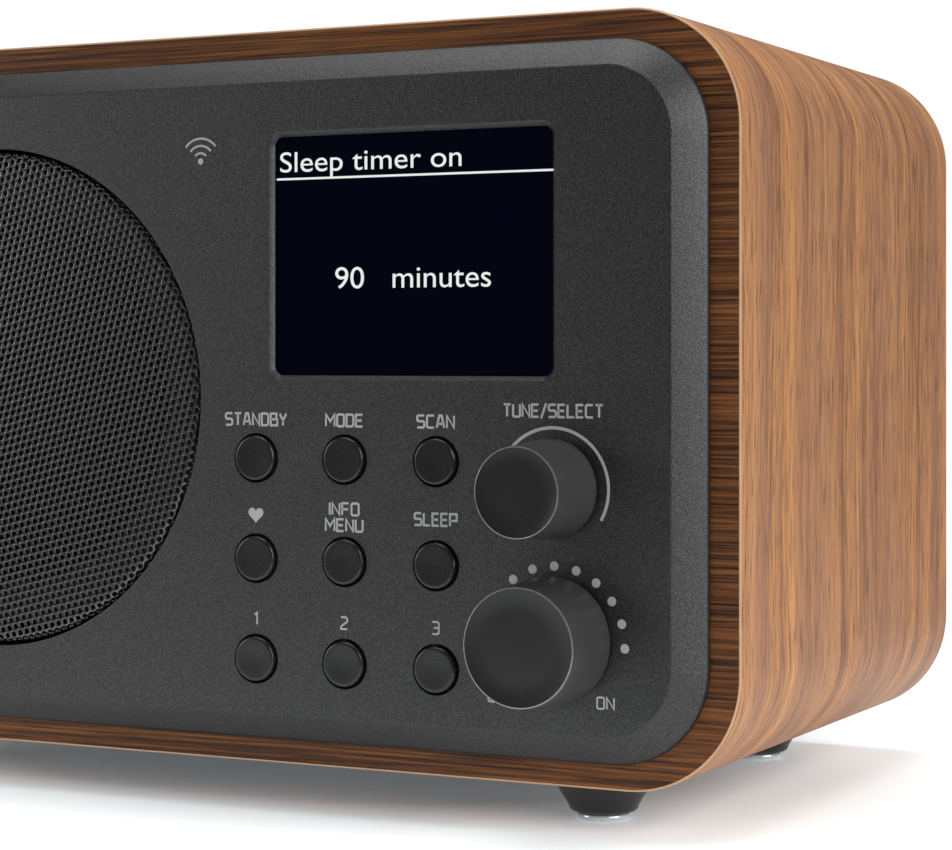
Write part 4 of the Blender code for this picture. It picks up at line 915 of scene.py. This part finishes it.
def disc(radius, middle, steps=24):
    """A flat disc as a fan round its middle, closed on itself."""
    spots = np.concatenate([[middle], circle(radius, steps) + middle])
    n = np.arange(steps)
    return spots, np.stack([np.zeros(steps, int), 1 + (n + 1) % steps, 1 + n], -1)


dot_middle = (volume_x + 0.0003, volume_z - 0.0005)
dot_places = arc_points(DOT_CIRCLE, DOT_START, DOT_START + (DOTS - 1) * DOT_STEP, dot_middle, DOTS)
inked("volume_dots", [disc(DOT_RADIUS, tuple(spot)) for spot in dot_places])

# The heart is x = 16 sin^3 t, z = 13 cos t - 5 cos 2t - 2 cos 3t - cos 4t, filled as a fan.
HEART_SCALE = 0.000103
HEART_RISE = 0.0083
t = np.linspace(0.0, math.tau, 49)[:-1]
heart_middle = np.add(middle_of("button_favourite"), (0.0, HEART_RISE))
lobe_z = 13 * np.cos(t) - 5 * np.cos(2 * t) - 2 * np.cos(3 * t) - np.cos(4 * t)
lobe = np.stack([16 * np.sin(t) ** 3, lobe_z], -1) * HEART_SCALE + heart_middle
n = np.arange(len(lobe))
fan = np.stack([np.full(len(n), len(n)), n, (n + 1) % len(n)], -1)
inked("heart", [(np.concatenate([lobe, [heart_middle]]), fan)])

# A plain set of signal arcs over a dot marks the tuner, to the left of the display.
SIGNAL_ASIDE = 0.01605
SIGNAL_DROP = 0.00405
signal_dot = (window_left - SIGNAL_ASIDE, window_top - SIGNAL_DROP)
waves = [stroked(arc_points(radius, 40, 140, signal_dot, 21), 0.0004) for radius in (0.0016, 0.0030, 0.0044)]
waves.append(disc(0.0006, signal_dot))
inked("signal_arcs", waves)


# -------------------- Rear panel
# A flat black moulding let into the rebate and held by four screws. It is pierced for the bass
# port, the antenna's bush and three sockets.
rear_low, rear_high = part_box("rear_panel")
REAR_SHEET = 0.003
REAR_EDGE = 0.0004
PORT_HOLE = 0.0136
BUSH_HOLE = 0.0043
POWER_HOLE = 0.0049
AUDIO_HOLE = 0.0037
SCREW_HOLE = 0.00145
rear_inside = rear_high.y - REAR_SHEET
rear_half = ((rear_high.x - rear_low.x) / 2, (rear_high.z - rear_low.z) / 2)
rear_middle = (0.0, (rear_high.z + rear_low.z) / 2)
port_middle = middle_of("bass_port")
base_middle = middle_of("antenna_base")
rear_holes = [(port_middle, PORT_HOLE, 64), (base_middle, BUSH_HOLE, 48)]
rear_holes += [(middle_of("dc_jack"), POWER_HOLE, 40)]
rear_holes += [(middle_of(f"{name}_jack"), AUDIO_HOLE, 40) for name in ("aux", "headphone")]
rear_holes += [(middle_of(f"rear_screw_{number}"), SCREW_HOLE, 24) for number in (1, 2, 3, 4)]
rear_rows = [(0.0, rear_inside), (0.0, rear_high.y - REAR_EDGE)]
rear_rows += [(0.3 * REAR_EDGE, rear_high.y - 0.3 * REAR_EDGE), (REAR_EDGE, rear_high.y)]
rear_corner = SLEEVE_CORNER - REBATE - PLAY
rear_loops = [outline(rear_half[0] - i, rear_half[1] - i, rear_corner - i, 24) for i, _ in rear_rows]
parts = [stacked(rear_loops, [depth for _, depth in rear_rows], rear_middle)]
near_loops, far_loops = [rear_loops[0] + rear_middle], [rear_loops[-1] + rear_middle]
for middle, radius, steps in rear_holes:
    ring = circle(radius, steps)
    parts.append(stacked([ring, ring], [rear_inside, rear_high.y], middle))
    near_loops.append(ring + middle)
    far_loops.append(ring + middle)
parts += [filled(near_loops, rear_inside), filled(far_loops, rear_high.y)]
rear_black = moulded("black rear moulding", (0.017, 0.017, 0.018), 0.5, 0.00006, 1500.0)
add_piece("rear_cover", parts, [rear_black], ["rear_panel"])


# -------------------- Port, sockets, bush
# Turned and moulded fittings that pass through the rear panel: the flared bass port, the power
# and audio sockets on the main board, and the bush that the antenna swivels in.
port_low, port_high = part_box("bass_port")
port_black = moulded("black port moulding", (0.012, 0.012, 0.013), 0.36)
PORT_BORE, PORT_OUTSIDE = 0.0115, 0.0133
PORT_FLARE = 0.0015
PORT_LIP_EDGE = 0.0008
lip = (port_high.x - port_low.x) / 2
back = port_high.y
seat = rear_high.y + PLAY
profile = [(PORT_BORE, port_low.y)]
profile += quarter_round((PORT_BORE, back - PORT_FLARE), (PORT_BORE + PORT_FLARE, back))
profile += [(lip - PORT_LIP_EDGE, back), (lip, back - PORT_LIP_EDGE), (lip, seat)]
profile += [(PORT_OUTSIDE, seat), (PORT_OUTSIDE, port_low.y), (PORT_BORE, port_low.y)]
add_piece("port_tube", [turned(profile, port_middle)], [port_black], ["bass_port"])


def slab(low, high, finish=0):
    """A box as six faces between two corners."""
    low, high = np.array(low), np.array(high)
    pick = np.array([(0, 0, 0), (1, 0, 0), (1, 1, 0), (0, 1, 0), (0, 0, 1), (1, 0, 1), (1, 1, 1), (0, 1, 1)])
    faces = [(0, 3, 2, 1), (4, 5, 6, 7), (0, 1, 5, 4), (1, 2, 6, 5), (2, 3, 7, 6), (3, 0, 4, 7)]
    return low + pick * (high - low), faces, finish


socket_black = moulded("black socket plastic", (0.010, 0.010, 0.010), 0.35)
socket_green = moulded("green socket plastic", (0.015, 0.13, 0.045), 0.35)
SOCKETS = {
    "dc_jack": (0.0046, 0.0031, 0.0010, socket_black, "socket_black"),
    "aux_jack": (0.0034, 0.0018, 0.0, socket_black, "socket_black"),
    "headphone_jack": (0.0034, 0.0018, 0.0, socket_green, "socket_green"),
}
SOCKET_FLOOR = 0.001
PIN_SHORT = 0.001
NOSE_EDGE = 0.0003
SHOULDER = 0.0008
for name, (nose, bore, pin, finish, slot) in SOCKETS.items():
    low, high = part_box(name)
    middle = middle_of(name)
    face = high.y
    floor = low.y + SOCKET_FLOOR
    ring = [(bore, floor), (bore, face - NOSE_EDGE), (bore + NOSE_EDGE, face), (nose - NOSE_EDGE, face)]
    ring += [(nose, face - NOSE_EDGE), (nose, rear_inside - SHOULDER), (bore, floor)]
    parts = [turned(ring, middle, "Y", 40)]
    parts.append(slab((low.x, low.y, low.z), (high.x, floor, high.z)))
    if pin:
        pin_end = face - PIN_SHORT
        profile = [(0.0, floor), (pin, floor), (pin, pin_end - NOSE_EDGE)]
        profile += [(0.6 * pin, pin_end), (0.0, pin_end)]
        parts.append(turned(profile, middle, "Y", 24))
    add_piece(f"{name}_body", parts, [finish], [name])

BUSH_BORE, BUSH_OUTSIDE = 0.0023, 0.0040
BUSH_EDGE = 0.0005
base_low, base_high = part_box("antenna_base")
flange = (base_high.x - base_low.x) / 2
profile = [(BUSH_BORE, base_low.y), (BUSH_OUTSIDE, base_low.y), (BUSH_OUTSIDE, seat), (flange, seat)]
profile += [(flange, base_high.y - BUSH_EDGE), (flange - BUSH_EDGE, base_high.y)]
profile += [(BUSH_BORE, base_high.y), (BUSH_BORE, base_low.y)]
bush_part = turned(profile, base_middle, "Y", 48)
add_piece("antenna_bush", [bush_part], [port_black], ["antenna_base"])


# -------------------- Antenna
# A swivel with two cheeks and a pin, four nested tubes of chromed brass and a button tip. The
# sections slide out of one another and lie folded across the back.
chrome, flow = new_finish("chromed brass")
wipe = noise(flow, place_of(flow), (60.0, 900.0, 900.0), 3.0)
coat(
    chrome, base_color=blended(flow, wipe, (0.62, 0.62, 0.64), (0.80, 0.80, 0.82)), metallic=1.0,
    roughness=wipe * 0.14 + 0.08,
)
swivel_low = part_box("antenna_swivel")[0]
mast_low, mast_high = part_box("antenna_section_1")
pivot = (base_middle[0], (mast_low.y + mast_high.y) / 2, base_middle[1])
STEM_RADIUS, DISC_RADIUS = 0.0020, 0.0052
DISC_EDGE = 0.0002
CHEEK_RADIUS = 0.0036
CHEEK_INSIDE, CHEEK_OUTSIDE = 0.0020, 0.0035
PIN_RADIUS, PIN_HALF = 0.0010, 0.0036
seat_top = base_high.y + PLAY
disc_top = pivot[1] - CHEEK_RADIUS - PLAY
stem = [(0.0, swivel_low.y), (STEM_RADIUS, swivel_low.y), (STEM_RADIUS, seat_top), (DISC_RADIUS, seat_top)]
stem += [(DISC_RADIUS, disc_top - DISC_EDGE), (DISC_RADIUS - DISC_EDGE, disc_top), (0.0, disc_top)]
parts = [turned(stem, base_middle, "Y", 48)]
cheek_foot = disc_top - pivot[1] - PLAY
bow = arc_points(CHEEK_RADIUS, 0, 180, (0.0, 0.0), 25)
cheek = np.concatenate([[(CHEEK_RADIUS, cheek_foot)], bow, [(-CHEEK_RADIUS, cheek_foot)]]) + pivot[:2]
count = len(cheek)
for heights in ((-CHEEK_OUTSIDE, -CHEEK_INSIDE), (CHEEK_INSIDE, CHEEK_OUTSIDE)):
    ends = [np.column_stack([cheek, np.full(count, z + pivot[2])]) for z in heights]
    faces = [*quads(2, count).tolist(), list(range(count)), list(range(count, 2 * count))]
    parts.append((np.concatenate(ends), faces, 0))
pin = [(0.0, -PIN_HALF), (PIN_RADIUS, -PIN_HALF), (PIN_RADIUS, PIN_HALF), (0.0, PIN_HALF)]
parts.append(turned(pin, pivot, "Z", 24))
add_piece("swivel_fork", parts, [chrome], ["antenna_swivel"], "antenna_fork")

MAST_RADII = (0.0030, 0.0023, 0.0016, 0.0009)
MAST_WALL = 0.0004
MAST_BORE = 0.006
MAST_START = 0.0085
EYE_BORE, EYE_RADIUS, EYE_HALF = 0.0013, 0.0033, 0.0017
EYE_EDGE = 0.0002
NECK_HALF = 0.0026
NECK_END = 0.0028
for number, tube in enumerate(MAST_RADII, start=1):
    node = f"antenna_section_{number}"
    low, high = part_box(node)
    root = pivot[0] - MAST_START if number == 1 else high.x
    mouth = low.x
    bore = tube - MAST_WALL
    profile = [(0.0, root), (tube, root), (tube, mouth + 0.0002), (tube - 0.0001, mouth)]
    if number < len(MAST_RADII):
        profile += [(bore, mouth), (bore, mouth + MAST_BORE), (0.0, mouth + MAST_BORE)]
    else:
        profile += [(0.0, mouth)]
    parts = [turned(profile, (0.0, pivot[1], pivot[2]), "X", 40)]
    if number == 1:
        eye = [(EYE_BORE, -EYE_HALF), (EYE_RADIUS - EYE_EDGE, -EYE_HALF), (EYE_RADIUS, EYE_EDGE - EYE_HALF)]
        eye += [(EYE_RADIUS, EYE_HALF - EYE_EDGE), (EYE_RADIUS - EYE_EDGE, EYE_HALF), (EYE_BORE, EYE_HALF)]
        parts.append(turned([*eye, eye[0]], pivot, "Z", 40))
        neck_low = (root - PLAY, pivot[1] - NECK_HALF, pivot[2] - EYE_HALF)
        parts.append(slab(neck_low, (pivot[0] - NECK_END, pivot[1] + NECK_HALF, pivot[2] + EYE_HALF)))
    add_piece(f"mast_tube_{number}", parts, [chrome], [node], f"mast_{number}")
TIP_ROUND = 0.001
TIP_EDGE = 0.0003
low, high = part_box("antenna_tip")
knob = (high.z - low.z) / 2
profile = [(0.0, high.x), (knob - TIP_EDGE, high.x), (knob, high.x - TIP_EDGE)]
profile += reversed(quarter_round((knob - TIP_ROUND, low.x), (knob, low.x + TIP_ROUND), 6))
profile += [(0.0, low.x)]
tip_part = turned(profile, (0.0, pivot[1], pivot[2]), "X", 40)
add_piece("mast_button", [tip_part], [chrome], ["antenna_tip"], "mast_4")


# -------------------- Inner pieces
# What lies behind the panels: the driver, the boards, switches and leads. Their solids stay,
# each in the finish of its own stuff.
INNER = {
    "rear_screw_1 rear_screw_2 rear_screw_3 rear_screw_4": ((0.52, 0.53, 0.55), 0.30, 1.0),
    "display_module": ((0.010, 0.010, 0.016), 0.35, 0.0),
    "button_mat": ((0.22, 0.22, 0.23), 0.70, 0.0),
    "tune_encoder volume_pot": ((0.09, 0.09, 0.10), 0.45, 0.2),
    "tune_plunger": ((0.58, 0.43, 0.19), 0.32, 1.0),
    "tune_shaft volume_shaft": ((0.48, 0.48, 0.49), 0.30, 1.0),
    "speaker_basket": ((0.07, 0.07, 0.075), 0.45, 0.7),
    "speaker_magnet": ((0.06, 0.06, 0.06), 0.60, 0.3),
    "speaker_cone speaker_dust_cap": ((0.010, 0.010, 0.010), 0.80, 0.0),
    "speaker_surround": ((0.009, 0.009, 0.009), 0.55, 0.0),
    "speaker_spider": ((0.46, 0.30, 0.10), 0.80, 0.0),
    "voice_coil": ((0.66, 0.32, 0.14), 0.35, 1.0),
    "control_board main_board": ((0.010, 0.095, 0.038), 0.40, 0.0),
    "tuner_module": ((0.58, 0.58, 0.59), 0.32, 1.0),
    "ribbon_cable": ((0.28, 0.28, 0.30), 0.55, 0.0),
    "speaker_lead": ((0.33, 0.02, 0.02), 0.45, 0.0),
    "antenna_lead": ((0.014, 0.014, 0.014), 0.45, 0.0),
}
for nodes, (colour, roughness, metallic) in INNER.items():
    stuff = moulded(f"finish of {nodes.split()[0]}", colour, roughness, 0.00003, 1200.0)
    coat(stuff, metallic=metallic)
    for node in nodes.split():
        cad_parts[node].data.materials.clear()
        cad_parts[node].data.materials.append(stuff)
